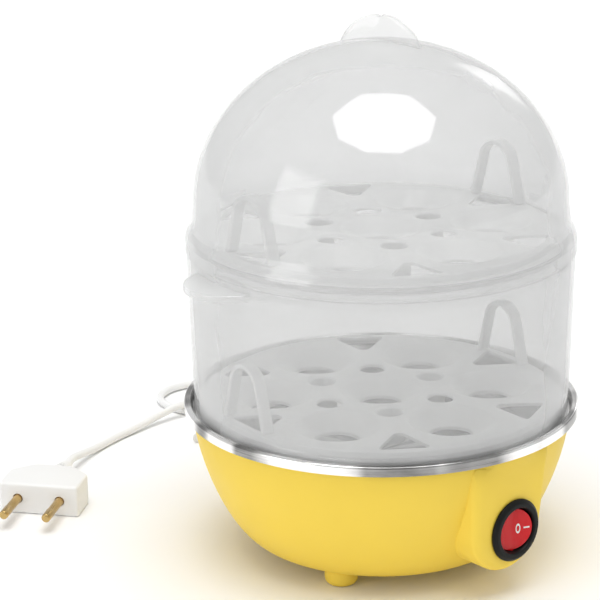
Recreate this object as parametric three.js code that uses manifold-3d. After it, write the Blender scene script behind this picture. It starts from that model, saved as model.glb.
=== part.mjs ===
// Two-tier egg cooker, in millimetres. The origin is on the table under the middle of the
// base, +Z is up and -Y is the front. An azimuth is an angle from the front towards +X.
// A plastic bowl on three feet holds a steel heating dish. A lower egg tray and a drum stand
// in the dish, an upper egg tray stands in the drum, and a domed lid closes the stack.
import * as THREE from 'three';
import { mergeVertices } from 'three/addons/utils/BufferGeometryUtils.js';
import Module from 'manifold-3d';

const wasm = await Module();
wasm.setup();

// ---------------------------------------------------------------- driving dimensions
const gap = 0.3; // between pieces that rest on or beside each other
const fineSides = 32; // round pieces as wide as the cooker
const smallSides = 12; // small round pieces
const tinySides = 8; // pins, bores and screws
const wideRadius = 30; // a wider round piece takes the finer sides
const narrowRadius = 4; // a narrower one takes the fewest

// Bowl-shaped housing
const footHeight = 7.25;
const footRadius = 6.7;
const footCircle = 45.5;
const footAzimuth = -20;
const housingTopRadius = 76.75;
const housingFlatRadius = 52.9;
const housingDepth = 52.45;
const housingCurve = 1.342; // 1 is a cone, and less than that bulges
const housingWall = 2.2;

// Flat boss on the housing that carries the switch
const bossAzimuth = 43;
const bossSetback = 1.05; // of the boss's face inside the housing's top edge
const bossHeight = 28.4; // of the switch's centre above the table
const bossLowerRadius = 18.5; // of the boss's round lower end
const bossLowerRise = 2; // of that end's centre above the switch's
const bossLowerShift = -2.5; // and beside it, towards the front
const bossBackHalfWidth = 20.5;
const bossFrontHalfWidth = 21.5;
const bossTopBelowRim = 0.6;

// Steel dish
const sheet = 0.6;
const rimOverhang = 3.25;
const rimHeight = 3.9;
const rimBand = 2.6;
const dishDepth = 19.6; // from the ledge to the floor
const dishDraft = 5.5;
const heaterWellRadius = 45.5;
const heaterWellDepth = 1.5;

// Drum
const drumSeatGap = 0.8; // beside the drum, in the dish's ledge
const drumWall = 1.5;
const drumFlare = 1.5; // how much wider the drum is at its shoulder
const drumHeight = 66.4; // from its lower edge to the shoulder
const spigotHeight = 5.1;
const spigotStep = 1.2;
const drumLedgeHeight = 1.8; // of the inner ledge above the shoulder
const drumLedgeWidth = 2.2;
const lugAzimuth = -53;
const lugRadius = 18.5;
const lugReach = 12.5; // beyond the drum's shoulder radius
const lugThickness = 3;
const lugBelowShoulder = 2.3;

// Egg trays
const trayThickness = 1.3;
const trayDepth = 5.1; // from the deck to the foot of its outer lip
const trayStep = 2.4; // the outer flange lies this far under the deck
const trayFlangeWidth = 3.8;
const trayLipWidth = 1.2;
const cupRadius = 16;
const cupEdge = 9.2; // from an outer cup to the deck's edge
const cupHoleRadius = 8.75;
const cupDepth = 6.2;
const cupWall = 1;
const cupCount = 6;
const roundHoleRadius = 5.25;
const legDepth = 12;
const legWall = 1;
const ventEdge = 3.7;
const ventDepth = 16.5;
const ventHalfWidth = 10.9;
const ventCorner = 2;
const lowerTrayAzimuth = 8;
const upperTrayAzimuth = 12;
const handleHalfSpan = 14;
const handleHeight = 25;
const handleTopRadius = 9.6;
const handleBand = 1.9;
const handleWidth = 5;

// Lid
const lidWall = 1.3;
const lidOverhang = 0.45; // beyond the drum's shoulder
const lidSkirtHeight = 5;
const lidShoulderHeight = 12;
const lidSpringHeight = 18.65;
const lidHeight = 82;
const lidDraft = 3.45; // from the skirt in to the spring line of the dome
const tabAzimuth = -27;
const tabHalfLength = 17.5;
const tabHeight = 10.3;
const tabThickness = 2.4;

// Round rocker switch
const switchBodyRadius = 9.8;
const switchBodyDepth = 17;
const bezelRadius = 12.6;
const bezelHeight = 2;
const rockerRadius = 8.6;
const rockerPivotDepth = 1.8; // behind the boss's face
const rockerValley = 1.4; // above the pivot
const rockerSlope = 5.6; // of each half, in degrees
const rockerTilt = 12; // degrees from the middle to either position
const rockerTravelGap = 0.4;
const trunnionRadius = 1.3;
const plungerReach = 10.3;
const leverDepth = 13.1;
const leverHalfLength = 5;
const plungerRadius = 1.1;
const terminalPitch = 4.6;
const terminalReach = 8; // behind the body
const terminalWidth = 4.8;
const terminalThickness = 0.8;

// Heater under the dish
const plateRadius = 40;
const plateThickness = 4;
const elementRadius = 28;
const elementTube = 3.3;
const elementOpening = 60; // degrees between its ends
const spiderThickness = 1.6;
const spiderHub = 7.5;
const spiderDrop = 1.4; // under the element
const screwCircle = 36;
const screwAzimuth = 60;
const screwRadius = 1.5;
const screwHeadRadius = 3.1;
const postRadius = 5;
const thermostatRadius = 7.5;
const thermostatCircle = 15;
const bladeSpacing = 6;
const bladeLength = 6;
const fuseHalfLength = 10;

// Mains lead
const cordRadius = 1.8;
const bushHeight = 22;
const bushSetback = 6.75; // of the bush's flat pad inside the housing's top edge
const bushPadRadius = 8.5;
const bushPadThickness = 3.2;
const bushNeckRadius = 4;
const bushFlange = 1.8; // beyond the neck
const bushFlangeThickness = 2.6;
const bushLength = 23; // outside the pad
const bushTip = 0.8; // thickness at its outer end
const sheathInside = 25; // length of the lead's sheath inside the pad
const clampInside = 20; // from the pad in to the middle of the clamp
const clampHalfWidth = 12;
const wireRadius = 1.1;
const coilCentre = [-45, 131];
const coilRadius = 19.8; // at the middle of its turns
const coilRise = 0.9; // the tie's strap lies under the turns
const tieThickness = 0.7;
const tieWidth = 5;
const tieAngle = 207; // round the coil, from +X
const tieSlack = 0.8; // round the outside of the turns
const tieTail = 27; // beyond the turns
const tieTailThickness = 1;
const tieTailWidth = 4.8;
const tieTailLow = 0.2;
const plugCentre = [-139.5, 63];
const plugAzimuth = -9.8;
const plugThickness = 13.7;
const plugWidth = 35.3;
const plugSleeve = 16;
const plugBody = 24;
const pinRadius = 2;
const pinLength = 19;
const pinSpacing = 18.6;

// ---------------------------------------------------------------- sizes that follow
const housingTop = footHeight + housingDepth;
const bossFace = housingTopRadius - bossSetback; // from the cooker's axis
const rimRadius = housingTopRadius + rimOverhang;
const ledgeHeight = housingTop + gap + sheet;
const rimTop = ledgeHeight + rimHeight - sheet;
const ledgeRadius = housingTopRadius - 0.15;
const drumRadius = ledgeRadius - drumSeatGap;
const drumTopRadius = drumRadius + drumFlare;
const drumBottom = ledgeHeight + gap;
const drumShoulder = drumBottom + drumHeight;
const spigotRadius = drumTopRadius - spigotStep;
const trayRadius = drumRadius - drumWall - gap;
const deckRadius = trayRadius - trayFlangeWidth;
const wellRadius = trayRadius - 2;
const lowerDeck = ledgeHeight + gap + trayDepth;
const drumLedge = drumShoulder + drumLedgeHeight;
const upperDeck = drumLedge + gap + trayDepth;
const lidBottom = drumShoulder + gap;
const lidRadius = drumTopRadius + lidOverhang;
const domeRadius = lidRadius - lidDraft;
const domeBase = lidBottom + lidSpringHeight;
const apex = lidBottom + lidHeight;
const cupCircle = deckRadius - cupEdge - cupRadius;
const roundHoleCircle = cupCircle / Math.sqrt(3);
const ventOuter = deckRadius - ventEdge;
const handleFace = Math.sqrt((deckRadius - 0.9) ** 2 - handleHalfSpan ** 2);
const dishFloor = ledgeHeight - dishDepth;
const plateTop = dishFloor - heaterWellDepth - sheet - gap;
const plateBottom = plateTop - plateThickness;
const elementHeight = plateBottom - gap - elementTube;
const spiderTop = elementHeight - elementTube - spiderDrop;
const postTop = spiderTop - spiderThickness - gap;
const bossTop = housingTop - bossTopBelowRim;
const spiderLow = spiderTop - spiderThickness;
const thermostatTop = plateBottom - gap;
const capLow = thermostatTop - 1.6;
const bodyLow = capLow - 6.5;
const thermostatAzimuth = screwAzimuth + 60; // both lie midway between two screws
const fuseAzimuth = screwAzimuth + 180;
const fuseHeight = plateBottom - 4.4;
const terminalEnd = switchBodyDepth + terminalReach;
const bushSeat = housingTopRadius - bushSetback;
const bushEnd = bushSeat + bushLength;
const sheathStart = bushSeat - sheathInside;
const clampDistance = bushSeat - clampInside;
const coilLow = coilRise;
const coilHigh = coilLow + 4 * cordRadius;
const coilInner = coilRadius - 2 * cordRadius;
const coilOuter = coilRadius + 2 * cordRadius;
const plugAxis = plugThickness / 2;

// ---------------------------------------------------------------- solids
const radians = THREE.MathUtils.degToRad;

function solid(geometry) {
  geometry.deleteAttribute('normal');
  geometry.deleteAttribute('uv');
  const welded = mergeVertices(geometry, 1e-4);
  const index = [...welded.index.array];
  const kept = [];
  for (let i = 0; i < index.length; i += 3) {
    const [a, b, c] = index.slice(i, i + 3);
    if (a !== b && b !== c && c !== a) kept.push(a, b, c);
  }
  const vertices = Float32Array.from(welded.attributes.position.array);
  if (signedVolume(vertices, kept) < 0) kept.reverse();
  const mesh = new wasm.Mesh({ numProp: 3, vertProperties: vertices, triVerts: Uint32Array.from(kept) });
  return new wasm.Manifold(mesh);
}

function signedVolume(vertices, index) {
  const corner = (i) => new THREE.Vector3().fromArray(vertices, 3 * index[i]);
  let total = 0;
  for (let i = 0; i < index.length; i += 3) {
    total += corner(i).dot(corner(i + 1).cross(corner(i + 2)));
  }
  return total;
}

function geometryOf(shape) {
  const { numProp, vertProperties, triVerts } = shape.getMesh();
  const geometry = new THREE.BufferGeometry();
  const vertices = new THREE.InterleavedBuffer(vertProperties, numProp);
  const positions = new Float32Array(vertices.count * 3);
  for (let i = 0; i < vertices.count; i++) {
    for (let k = 0; k < 3; k++) positions[3 * i + k] = vertProperties[numProp * i + k];
  }
  geometry.setAttribute('position', new THREE.BufferAttribute(positions, 3));
  geometry.setIndex([...triVerts]);
  geometry.computeVertexNormals();
  return geometry;
}

// A closed outline of [radius, height] points, turned about Z.
function turned(outline, sides = sidesOf(outline)) {
  const points = outline.map(([r, z]) => new THREE.Vector2(r, z));
  const onAxis = outline[0][0] === 0 && outline.at(-1)[0] === 0;
  if (!onAxis) points.push(points[0].clone());
  return solid(new THREE.LatheGeometry(points, sides).rotateX(Math.PI / 2));
}

function sidesOf(outline) {
  const widest = Math.max(...outline.map(([radius]) => radius));
  if (widest > wideRadius) return fineSides;
  return widest > narrowRadius ? smallSides : tinySides;
}

function rod(radius, low, high, sides) {
  return turned([[0, low], [radius, low], [radius, high], [0, high]], sides);
}

function block(low, high) {
  const size = high.map((value, k) => value - low[k]);
  const middle = high.map((value, k) => (value + low[k]) / 2);
  return solid(new THREE.BoxGeometry(...size).translate(...middle));
}

// An outline in X and Y, raised from low to high.
function slab(points, low, high) {
  const shape = new THREE.Shape(points.map(([x, y]) => new THREE.Vector2(x, y)));
  const geometry = new THREE.ExtrudeGeometry(shape, { depth: high - low, bevelEnabled: false });
  return solid(geometry.translate(0, 0, low));
}

// An outline in X and Z, with its thickness along Y from near to far.
function panel(points, near, far) {
  return slab(points.map(([x, z]) => [x, z]), -far, -near).rotate([90, 0, 0]);
}

// A round tube along smooth or straight points.
function tube(points, radius, steps, sides = 8) {
  const path = new THREE.CatmullRomCurve3(points.map((p) => new THREE.Vector3(...p)));
  return solid(sweptCircle(path, radius, steps, sides));
}

function sweptCircle(path, radius, steps, sides) {
  const section = [];
  for (let k = 0; k < sides; k++) {
    const angle = (2 * Math.PI * k) / sides;
    section.push(new THREE.Vector2(radius * Math.cos(angle), radius * Math.sin(angle)));
  }
  const options = { steps, extrudePath: path, bevelEnabled: false };
  return new THREE.ExtrudeGeometry(new THREE.Shape(section), options);
}

// Points of an arc, from one angle to another in degrees.
function arc(x, y, radius, from, to, steps) {
  const points = [];
  for (let k = 0; k <= steps; k++) {
    const angle = radians(from + ((to - from) * k) / steps);
    points.push([x + radius * Math.cos(angle), y + radius * Math.sin(angle)]);
  }
  return points;
}

// A convex outline whose corners are rounded.
function rounded(corners, radius, steps = 3) {
  const points = [];
  corners.forEach((corner, k) => {
    const here = new THREE.Vector2(...corner);
    const before = new THREE.Vector2(...corners.at(k - 1)).sub(here).normalize();
    const after = new THREE.Vector2(...corners[(k + 1) % corners.length]).sub(here).normalize();
    const half = Math.acos(THREE.MathUtils.clamp(before.dot(after), -1, 1)) / 2;
    const inward = before.clone().add(after).normalize();
    const centre = here.clone().addScaledVector(inward, radius / Math.sin(half));
    const first = here.clone().addScaledVector(before, radius / Math.tan(half)).sub(centre);
    const last = here.clone().addScaledVector(after, radius / Math.tan(half)).sub(centre);
    const turn = Math.atan2(first.cross(last), first.dot(last));
    for (let s = 0; s <= steps; s++) {
      const point = first.clone().rotateAround(new THREE.Vector2(), (turn * s) / steps).add(centre);
      points.push([point.x, point.y]);
    }
  });
  return points;
}

// Copies a solid to an azimuth: it is built at the front, facing -Y.
function atAzimuth(shape, degrees) {
  return shape.rotate([0, 0, degrees]);
}

function around(count, start = 0) {
  return Array.from({ length: count }, (_, k) => start + (360 * k) / count);
}

// A solid of revolution whose axis points out of the housing, along -Y.
function turnedOutward(outline, sides = smallSides) {
  return turned(outline, sides).rotate([90, 0, 0]);
}

function union(shapes) {
  return shapes.reduce((whole, shape) => whole.add(shape));
}

// ---------------------------------------------------------------- materials
function plastic(color, roughness, extra = {}) {
  return () => new THREE.MeshStandardMaterial({ color, roughness, metalness: 0, ...extra });
}
function metal(color, roughness) {
  return () => new THREE.MeshStandardMaterial({ color, roughness, metalness: 1 });
}
const yellowPlastic = plastic(0xf5dc5a, 0.45);
const clearPlastic = plastic(0xe6e7e6, 0.25, { transparent: true, opacity: 0.45 });
const milkyPlastic = plastic(0xf0f0ef, 0.4, { transparent: true, opacity: 0.8 });
const blackPlastic = plastic(0x1d1f1e, 0.4);
const redPlastic = plastic(0xc3141b, 0.2);
const whitePlastic = plastic(0xf2f2f0, 0.45);
const stainless = metal(0xc9c9c8, 0.3);
const aluminium = metal(0xb9bbbd, 0.5);
const steel = metal(0xb4b6b9, 0.4);
const brass = metal(0xc9a65a, 0.35);
const darkPlastic = plastic(0x3a332c, 0.55);
const fibreglass = plastic(0xdedbd0, 0.85);
const glass = plastic(0xf3c9a8, 0.1, { transparent: true, opacity: 0.5 });

const group = new THREE.Group();
function add(name, shape, material, parent = group) {
  const mesh = new THREE.Mesh(geometryOf(shape), material());
  mesh.name = name;
  parent.add(mesh);
  return mesh;
}

// ---------------------------------------------------------------- base housing
function bowlCurve(inset) {
  const steps = 7;
  const points = [];
  for (let k = 0; k <= steps; k++) {
    const angle = (Math.PI / 2) * (k / steps);
    const across = (housingTopRadius - housingFlatRadius) * Math.cos(angle) ** housingCurve;
    const down = (housingDepth - inset) * Math.sin(angle) ** housingCurve;
    points.push([housingFlatRadius - inset + across, housingTop - down]);
  }
  return points;
}

function bossOutline(inset) {
  const top = bossTop - inset;
  const radius = bossLowerRadius - inset;
  const lower = arc(bossLowerShift, bossHeight + bossLowerRise, radius, 180, 360, 10);
  return [[bossBackHalfWidth - inset, top], [inset - bossFrontHalfWidth, top], ...lower];
}

// The switch's boss, or the room inside it when the inset is the wall.
function boss(inset, back) {
  const prism = panel(bossOutline(inset), -bossFace + inset, -housingFlatRadius + back);
  const shoulder = bossHeight + bossLowerRadius / 2;
  const envelope = turned([[0, 0], [rimRadius - inset, 0], [rimRadius - inset, shoulder],
    [housingTopRadius - inset, housingTop - gap], [0, housingTop - gap]]);
  return atAzimuth(prism, bossAzimuth).intersect(envelope);
}

function clampSaddle() {
  const top = bushHeight - cordRadius - gap;
  const width = clampHalfWidth;
  return block([-width, clampDistance - 5, footHeight + 1], [width, clampDistance + 5, top]);
}

function housing() {
  const outer = bowlCurve(0);
  const inner = bowlCurve(housingWall);
  let shape = turned([[0, footHeight], ...outer.reverse(), [0, housingTop]]).add(boss(0, 0));
  const foot = [[0, 0], ...arc(footRadius - 3, 3, 3, -90, 0, 3), [footRadius, footHeight + 1],
    [0, footHeight + 1]];
  for (const azimuth of around(3, footAzimuth)) {
    shape = shape.add(atAzimuth(turned(foot).translate([0, -footCircle, 0]), azimuth));
  }
  shape = shape.subtract(turned([[0, footHeight + housingWall], ...inner.reverse(), [0, housingTop]])
    .add(rod(housingTopRadius - housingWall, housingTop - 0.01, housingTop + 1)));
  shape = shape.subtract(boss(housingWall, 4));
  shape = shape.add(clampSaddle()).add(towardsBack(bushPadRadius, bushSeat - 12, bushSeat));
  shape = shape.subtract(towardsBack(bushPadRadius - 2, bushSeat - 20, bushSeat - bushPadThickness));
  for (const azimuth of around(3, screwAzimuth)) {
    const post = rod(postRadius, footHeight + 1, postTop).translate([0, -screwCircle, 0]);
    shape = shape.add(atAzimuth(post, azimuth));
  }
  return cutHousing(shape);
}

// A rod along Y, behind the axis, at the height of the cord's bush.
function towardsBack(radius, near, far) {
  return rod(radius, near, far).rotate([-90, 0, 0]).translate([0, 0, bushHeight]);
}

function cutHousing(whole) {
  let shape = whole;
  for (const azimuth of around(3, screwAzimuth)) {
    const bore = rod(screwRadius + gap, 0, postTop + 1);
    const sink = rod(screwHeadRadius + 0.5, 0, footHeight + 5);
    shape = shape.subtract(atAzimuth(bore.add(sink).translate([0, -screwCircle, 0]), azimuth));
  }
  const switchHole = rod(switchBodyRadius + gap, -5, 12, 24).rotate([90, 0, 0]);
  const placed = switchHole.translate([0, -bossFace + 5, bossHeight]);
  shape = shape.subtract(atAzimuth(placed, bossAzimuth));
  shape = shape.subtract(towardsBack(bushNeckRadius + gap, bushSeat - 20, bushSeat + 1));
  for (const side of [-1, 1]) {
    const screwHole = rod(screwRadius + gap, bushHeight - 14, bushHeight + 4);
    shape = shape.subtract(screwHole.translate([side * (clampHalfWidth - 4), clampDistance, 0]));
  }
  return shape;
}

add('base_housing', housing(), yellowPlastic);

// ---------------------------------------------------------------- steel dish
function dish() {
  const floor = dishFloor;
  const pit = floor - heaterWellDepth;
  const well = heaterWellRadius;
  const wall = wellRadius - dishDraft;
  const band = rimRadius - rimBand;
  const hem = rimTop - rimHeight;
  const top = [[rimRadius - sheet, hem], [rimRadius, hem], [rimRadius, rimTop - 0.7],
    [rimRadius - 0.7, rimTop], [band, rimTop], [ledgeRadius + 0.2, ledgeHeight + 0.3],
    [ledgeRadius - 0.2, ledgeHeight], [wellRadius, ledgeHeight], [wellRadius - 0.6, ledgeHeight - 0.6],
    [wall + 0.5, floor + 1.5], [wall - 1, floor], [well + 1.5, floor], [well, pit], [0, pit]];
  const under = [[0, pit - sheet], [well + 0.3, pit - sheet], [well + 1.8, floor - sheet],
    [wall - 0.7, floor - sheet], [wall + 1.1, floor + 1.2], [wellRadius + 0.1, ledgeHeight - 0.8],
    [wellRadius + 0.3, ledgeHeight - sheet], [ledgeRadius + 0.2, ledgeHeight - sheet],
    [band + 0.6, rimTop - sheet], [rimRadius - sheet - 0.4, rimTop - sheet],
    [rimRadius - sheet, rimTop - sheet - 0.4]];
  return turned([...top, ...under]);
}
add('heating_dish', dish(), stainless);

// ---------------------------------------------------------------- heater under the dish
function heatPlate() {
  const stud = rod(2.5, spiderTop - spiderThickness - 5, plateBottom + 1);
  return turned([[0, plateBottom], [plateRadius - 1, plateBottom], [plateRadius, plateBottom + 1],
    [plateRadius, plateTop], [0, plateTop]], 28).add(stud);
}

function element() {
  const half = elementOpening / 2;
  const points = arc(0, 0, elementRadius, half - 90, 270 - half, 16);
  return tube(points.map(([x, y]) => [x, y, elementHeight]), elementTube, 20);
}

function spider() {
  const low = spiderLow;
  let shape = rod(spiderHub, low, spiderTop);
  for (const azimuth of around(3, screwAzimuth)) {
    const arm = block([-5, -screwCircle, low], [5, 0, spiderTop])
      .add(rod(5, low, spiderTop).translate([0, -screwCircle, 0]))
      .subtract(rod(screwRadius + gap, low - 1, spiderTop + 1).translate([0, -screwCircle, 0]));
    shape = shape.add(atAzimuth(arm, azimuth));
  }
  return shape.subtract(rod(2.5 + gap, low - 1, spiderTop + 1));
}

function nut(across, bore, low, high) {
  return rod(across / Math.sqrt(3), low, high, 6).subtract(rod(bore, low - 1, high + 1));
}

function screw(headLow, shankTop) {
  const slotDepth = 1;
  const head = turned([[0, headLow], [screwHeadRadius - 0.6, headLow], [screwHeadRadius, headLow + 0.8],
    [screwHeadRadius, headLow + 2.2], [screwRadius, headLow + 2.2], [screwRadius, shankTop - 1],
    [0, shankTop]]);
  return head.subtract(block([-0.5, -2.2, headLow - 1], [0.5, 2.2, headLow + slotDepth]));
}

add('heat_plate', heatPlate(), aluminium);
add('heating_element', element(), steel);
add('mounting_spider', spider(), steel);
add('spider_nut', nut(8, 2.5 + gap, spiderLow - 4, spiderLow - gap), steel);
around(3, screwAzimuth).forEach((azimuth, k) => {
  const shape = screw(footHeight + 2.5, spiderTop + 1).translate([0, -screwCircle, 0]);
  add(`housing_screw_${k + 1}`, atAzimuth(shape, azimuth), steel);
});

// Bimetal thermostat pressed against the plate, with its spring bracket
const thermostat = new THREE.Group();
thermostat.rotation.z = radians(thermostatAzimuth);
group.add(thermostat);
const thermostatAt = [0, -thermostatCircle, 0];
add('thermostat_body', turned([[0, bodyLow], [thermostatRadius - 1.2, bodyLow],
  [thermostatRadius - 1.2, capLow], [thermostatRadius, capLow], [thermostatRadius, thermostatTop],
  [0, thermostatTop]], 20).translate(thermostatAt), darkPlastic, thermostat);
for (const [side, word] of [[-1, 'left'], [1, 'right']]) {
  const x = (side * bladeSpacing) / 2;
  const blade = block([x - 0.4, -thermostatCircle - 2.4, bodyLow - bladeLength],
    [x + 0.4, -thermostatCircle + 2.4, bodyLow - gap]);
  add(`thermostat_blade_${word}`, blade, brass, thermostat);
}
const bracketReach = thermostatRadius + 3;
const bracketDepth = 3.5;
const bracket = block([-bracketReach, -bracketDepth, capLow - 1.3],
  [bracketReach, bracketDepth, capLow - gap])
  .add(rod(thermostatRadius + 1.1, capLow - 1.3, capLow - gap))
  .subtract(rod(thermostatRadius - 1.2 + gap, 0, thermostatTop));
const bracketEars = [-1, 1].map((side) => block([side * (bracketReach - 1) - 1, -bracketDepth, capLow - 1.3],
  [side * (bracketReach - 1) + 1, bracketDepth, thermostatTop]));
add('thermostat_bracket', union([bracket, ...bracketEars]).translate(thermostatAt), steel, thermostat);

// Thermal fuse in a sleeve, held by a clip
const fuse = new THREE.Group();
fuse.rotation.z = radians(fuseAzimuth);
fuse.position.z = fuseHeight;
group.add(fuse);
const alongX = (shape) => shape.rotate([0, 90, 0]).translate([0, -thermostatCircle, 0]);
add('thermal_fuse', alongX(turned([[0, -fuseHalfLength], [0.6, -fuseHalfLength], [0.6, -5.5], [2, -5],
  [2, 5], [0.6, 5.5], [0.6, fuseHalfLength], [0, fuseHalfLength]], 10)), steel, fuse);
add('fuse_sleeve', alongX(rod(2.9, -8, 8, 12).subtract(rod(2.3, -9, 9, 12))), fibreglass, fuse);
const clipBand = rod(4, -2.5, 2.5, 12).add(block([-4, 0, -2.5], [-3.4, 9, 2.5]));
add('fuse_clip', alongX(clipBand.subtract(rod(3.2, -3, 3, 12))), steel, fuse);

// ---------------------------------------------------------------- rocker switch
const switchGroup = new THREE.Group();
switchGroup.rotation.z = radians(bossAzimuth);
const bossDirection = new THREE.Vector3(Math.sin(radians(bossAzimuth)), -Math.cos(radians(bossAzimuth)), 0);
switchGroup.position.copy(bossDirection.multiplyScalar(bossFace));
switchGroup.position.z = bossHeight;
group.add(switchGroup);

// Inside this group the boss's face is the plane Y = 0, and -Y points out of it.
function switchBody() {
  const bore = rockerRadius + rockerTravelGap;
  const front = bezelHeight + gap;
  const outer = [[0, -switchBodyDepth], [switchBodyRadius, -switchBodyDepth], [switchBodyRadius, gap],
    [bezelRadius, gap], [bezelRadius, gap + 0.7], [bezelRadius - 0.7, front - 0.4],
    [bezelRadius - 1.6, front], [bore + 0.5, front], [bore, front - 0.5], [0, front - 0.5]];
  let shape = turnedOutward(outer, 24);
  shape = shape.subtract(turnedOutward([[0, -switchBodyDepth + 2], [bore, -switchBodyDepth + 2],
    [bore, front + 1], [0, front + 1]], 24));
  const pocket = rod(trunnionRadius + gap, -switchBodyRadius - 1, switchBodyRadius + 1, 12);
  shape = shape.subtract(pocket.translate([0, rockerPivotDepth, 0]));
  for (const x of [-terminalPitch, 0, terminalPitch]) {
    const slot = block([x - terminalThickness / 2 - gap, switchBodyDepth - 5, -terminalWidth / 2 - gap],
      [x + terminalThickness / 2 + gap, switchBodyDepth + 1, terminalWidth / 2 + gap]);
    shape = shape.subtract(slot);
  }
  return shape;
}

// The rocker is a ball cut by a shallow valley, so it keeps its clearance as it tilts.
function rocker() {
  const ball = solid(new THREE.SphereGeometry(rockerRadius, 18, 12));
  const high = 12;
  const wide = 14;
  const rise = Math.tan(radians(rockerSlope)) * wide;
  const above = panel([[0, rockerValley], [wide, rockerValley + rise], [wide, high], [-wide, high],
    [-wide, rockerValley + rise]], -wide, wide);
  const stem = block([-2, -2.2, -7.4], [2, 2.2, 0]);
  const hollow = rod(plungerRadius + gap, -8, -3, 12);
  const pins = rod(trunnionRadius, -9.4, 9.4, 12).rotate([90, 0, 0]);
  const under = block([-wide, -wide, -high], [wide, wide, -3]);
  return ball.subtract(above).subtract(under).add(stem).subtract(hollow).add(pins);
}

// The rocker's own frame: X across, Y along the pivot, Z out of the switch.
const rockerGroup = new THREE.Group();
rockerGroup.position.set(0, rockerPivotDepth, 0);
rockerGroup.rotation.set(Math.PI / 2, 0, 0);
switchGroup.add(rockerGroup);
const tilted = new THREE.Group();
tilted.rotation.y = radians(-rockerTilt);
rockerGroup.add(tilted);

add('switch_body', switchBody(), blackPlastic, switchGroup);
add('switch_rocker', rocker(), redPlastic, tilted);
add('rocker_plunger', turned([[0, -plungerReach], [plungerRadius - 0.4, -plungerReach + 0.1],
  [plungerRadius, -plungerReach + 0.6], [plungerRadius, -3.8], [0, -3.8]], 12), brass, tilted);

function lever() {
  const plate = block([-leverHalfLength, leverDepth - 0.3, -1.6], [leverHalfLength, leverDepth + 0.3, 1.6]);
  const button = (x) => rod(1, 0.2, 0.9, 12).rotate([-90, 0, 0]).translate([x, leverDepth, 0]);
  return plate.add(button(-4)).add(button(4));
}
add('contact_lever', lever(), brass, switchGroup);

function terminal(x, inner, outer) {
  const half = terminalThickness / 2;
  const blade = block([x - half, inner, -terminalWidth / 2], [x + half, outer, terminalWidth / 2]);
  const eye = rod(0.8, -9, 9, 10).rotate([0, 90, 0]).translate([x, outer - 3, 0]);
  return blade.subtract(eye);
}
add('terminal_common', terminal(0, leverDepth + 1.2, terminalEnd), brass, switchGroup);
add('terminal_load', terminal(terminalPitch, leverDepth + 1.9, terminalEnd), brass, switchGroup);
add('terminal_lamp', terminal(-terminalPitch, leverDepth + 1.9, terminalEnd), brass, switchGroup);
add('neon_lamp', rod(1.4, -3.4, 3.4, 12).rotate([0, 90, 0]).translate([0, 9, 5.6]), glass, switchGroup);

// ---------------------------------------------------------------- lead into the housing
function bush() {
  const neck = bushNeckRadius;
  const flange = neck + bushFlange;
  const inner = bushSeat - bushPadThickness - gap;
  const outer = bushSeat + gap;
  const collar = outer + bushFlangeThickness;
  let shape = turned([[0, inner - bushFlangeThickness], [flange, inner - bushFlangeThickness],
    [flange, inner], [neck, inner], [neck, outer], [flange, outer], [flange, collar - 0.6],
    [flange - 0.8, collar], [cordRadius + bushTip + 0.3, bushEnd - 0.8], [cordRadius + bushTip, bushEnd],
    [0, bushEnd]]);
  for (const at of [0.25, 0.5, 0.75].map((share) => collar + share * (bushEnd - collar))) {
    const slot = block([-6, -6, at], [-0.6, 6, at + 1.6]).add(block([0.6, -6, at], [6, 6, at + 1.6]));
    shape = shape.subtract(slot.subtract(rod(cordRadius + 0.9, at - 1, at + 3)));
  }
  const bore = rod(cordRadius + gap, inner - 9, bushEnd + 1);
  return shape.subtract(bore).rotate([-90, 0, 0]).translate([0, 0, bushHeight]);
}
add('cord_bush', bush(), whitePlastic);

add('inner_lead', tube([[0, sheathStart, bushHeight], [0, bushEnd - gap, bushHeight]], cordRadius, 2),
  whitePlastic);

const clampLow = bushHeight + cordRadius + gap;
const clampHoles = [-1, 1].map((side) => rod(screwRadius + gap, 0, 60)
  .translate([side * (clampHalfWidth - 4), clampDistance, 0]));
add('cord_clamp', block([-clampHalfWidth + 1, clampDistance - 4, clampLow],
  [clampHalfWidth - 1, clampDistance + 4, clampLow + 2]).subtract(union(clampHoles)), whitePlastic);
for (const [side, word] of [[-1, 'left'], [1, 'right']]) {
  const top = clampLow + 2 + gap;
  const shape = screw(-top - 2.2, -bushHeight + 12).rotate([180, 0, 0]);
  add(`clamp_screw_${word}`, shape.translate([side * (clampHalfWidth - 4), clampDistance, 0]), steel);
}

// Wires inside the housing, each a loose run between its two ends
function inSwitch(x, depth, z = 0) {
  const point = new THREE.Vector3(x, depth, z).applyEuler(switchGroup.rotation);
  return point.add(switchGroup.position).toArray();
}
function polar(radius, azimuth, z) {
  const angle = radians(azimuth);
  return [radius * Math.sin(angle), -radius * Math.cos(angle), z];
}
function wire(name, points, color) {
  add(name, tube(points, wireRadius, 3 * points.length - 3, 6), plastic(color, 0.5));
}
const brown = 0x8a4b2a;
const blue = 0x2f5fa8;
const ivory = 0xe4ddc8;
const atTerminal = terminalEnd + 2 * gap; // a wire meets its terminal at a slant
const floorRun = footHeight + housingWall + 3.8;
const bladeCircle = Math.hypot(thermostatCircle, bladeSpacing / 2);
const bladeTurn = THREE.MathUtils.radToDeg(Math.atan(bladeSpacing / 2 / thermostatCircle));
const bladeFoot = bodyLow - bladeLength - gap;
const fuseEndCircle = Math.hypot(thermostatCircle, fuseHalfLength - 0.5);
const fuseTurn = THREE.MathUtils.radToDeg(Math.atan((fuseHalfLength - 0.5) / thermostatCircle));
const fuseFoot = fuseHeight - 0.6 - gap;
const elementEnd = elementOpening / 2;
const elementFoot = elementHeight - elementTube - gap;
const sheathEnd = sheathStart - 2.5 * gap;
const besideSwitch = bossFace - 31.7;
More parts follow.
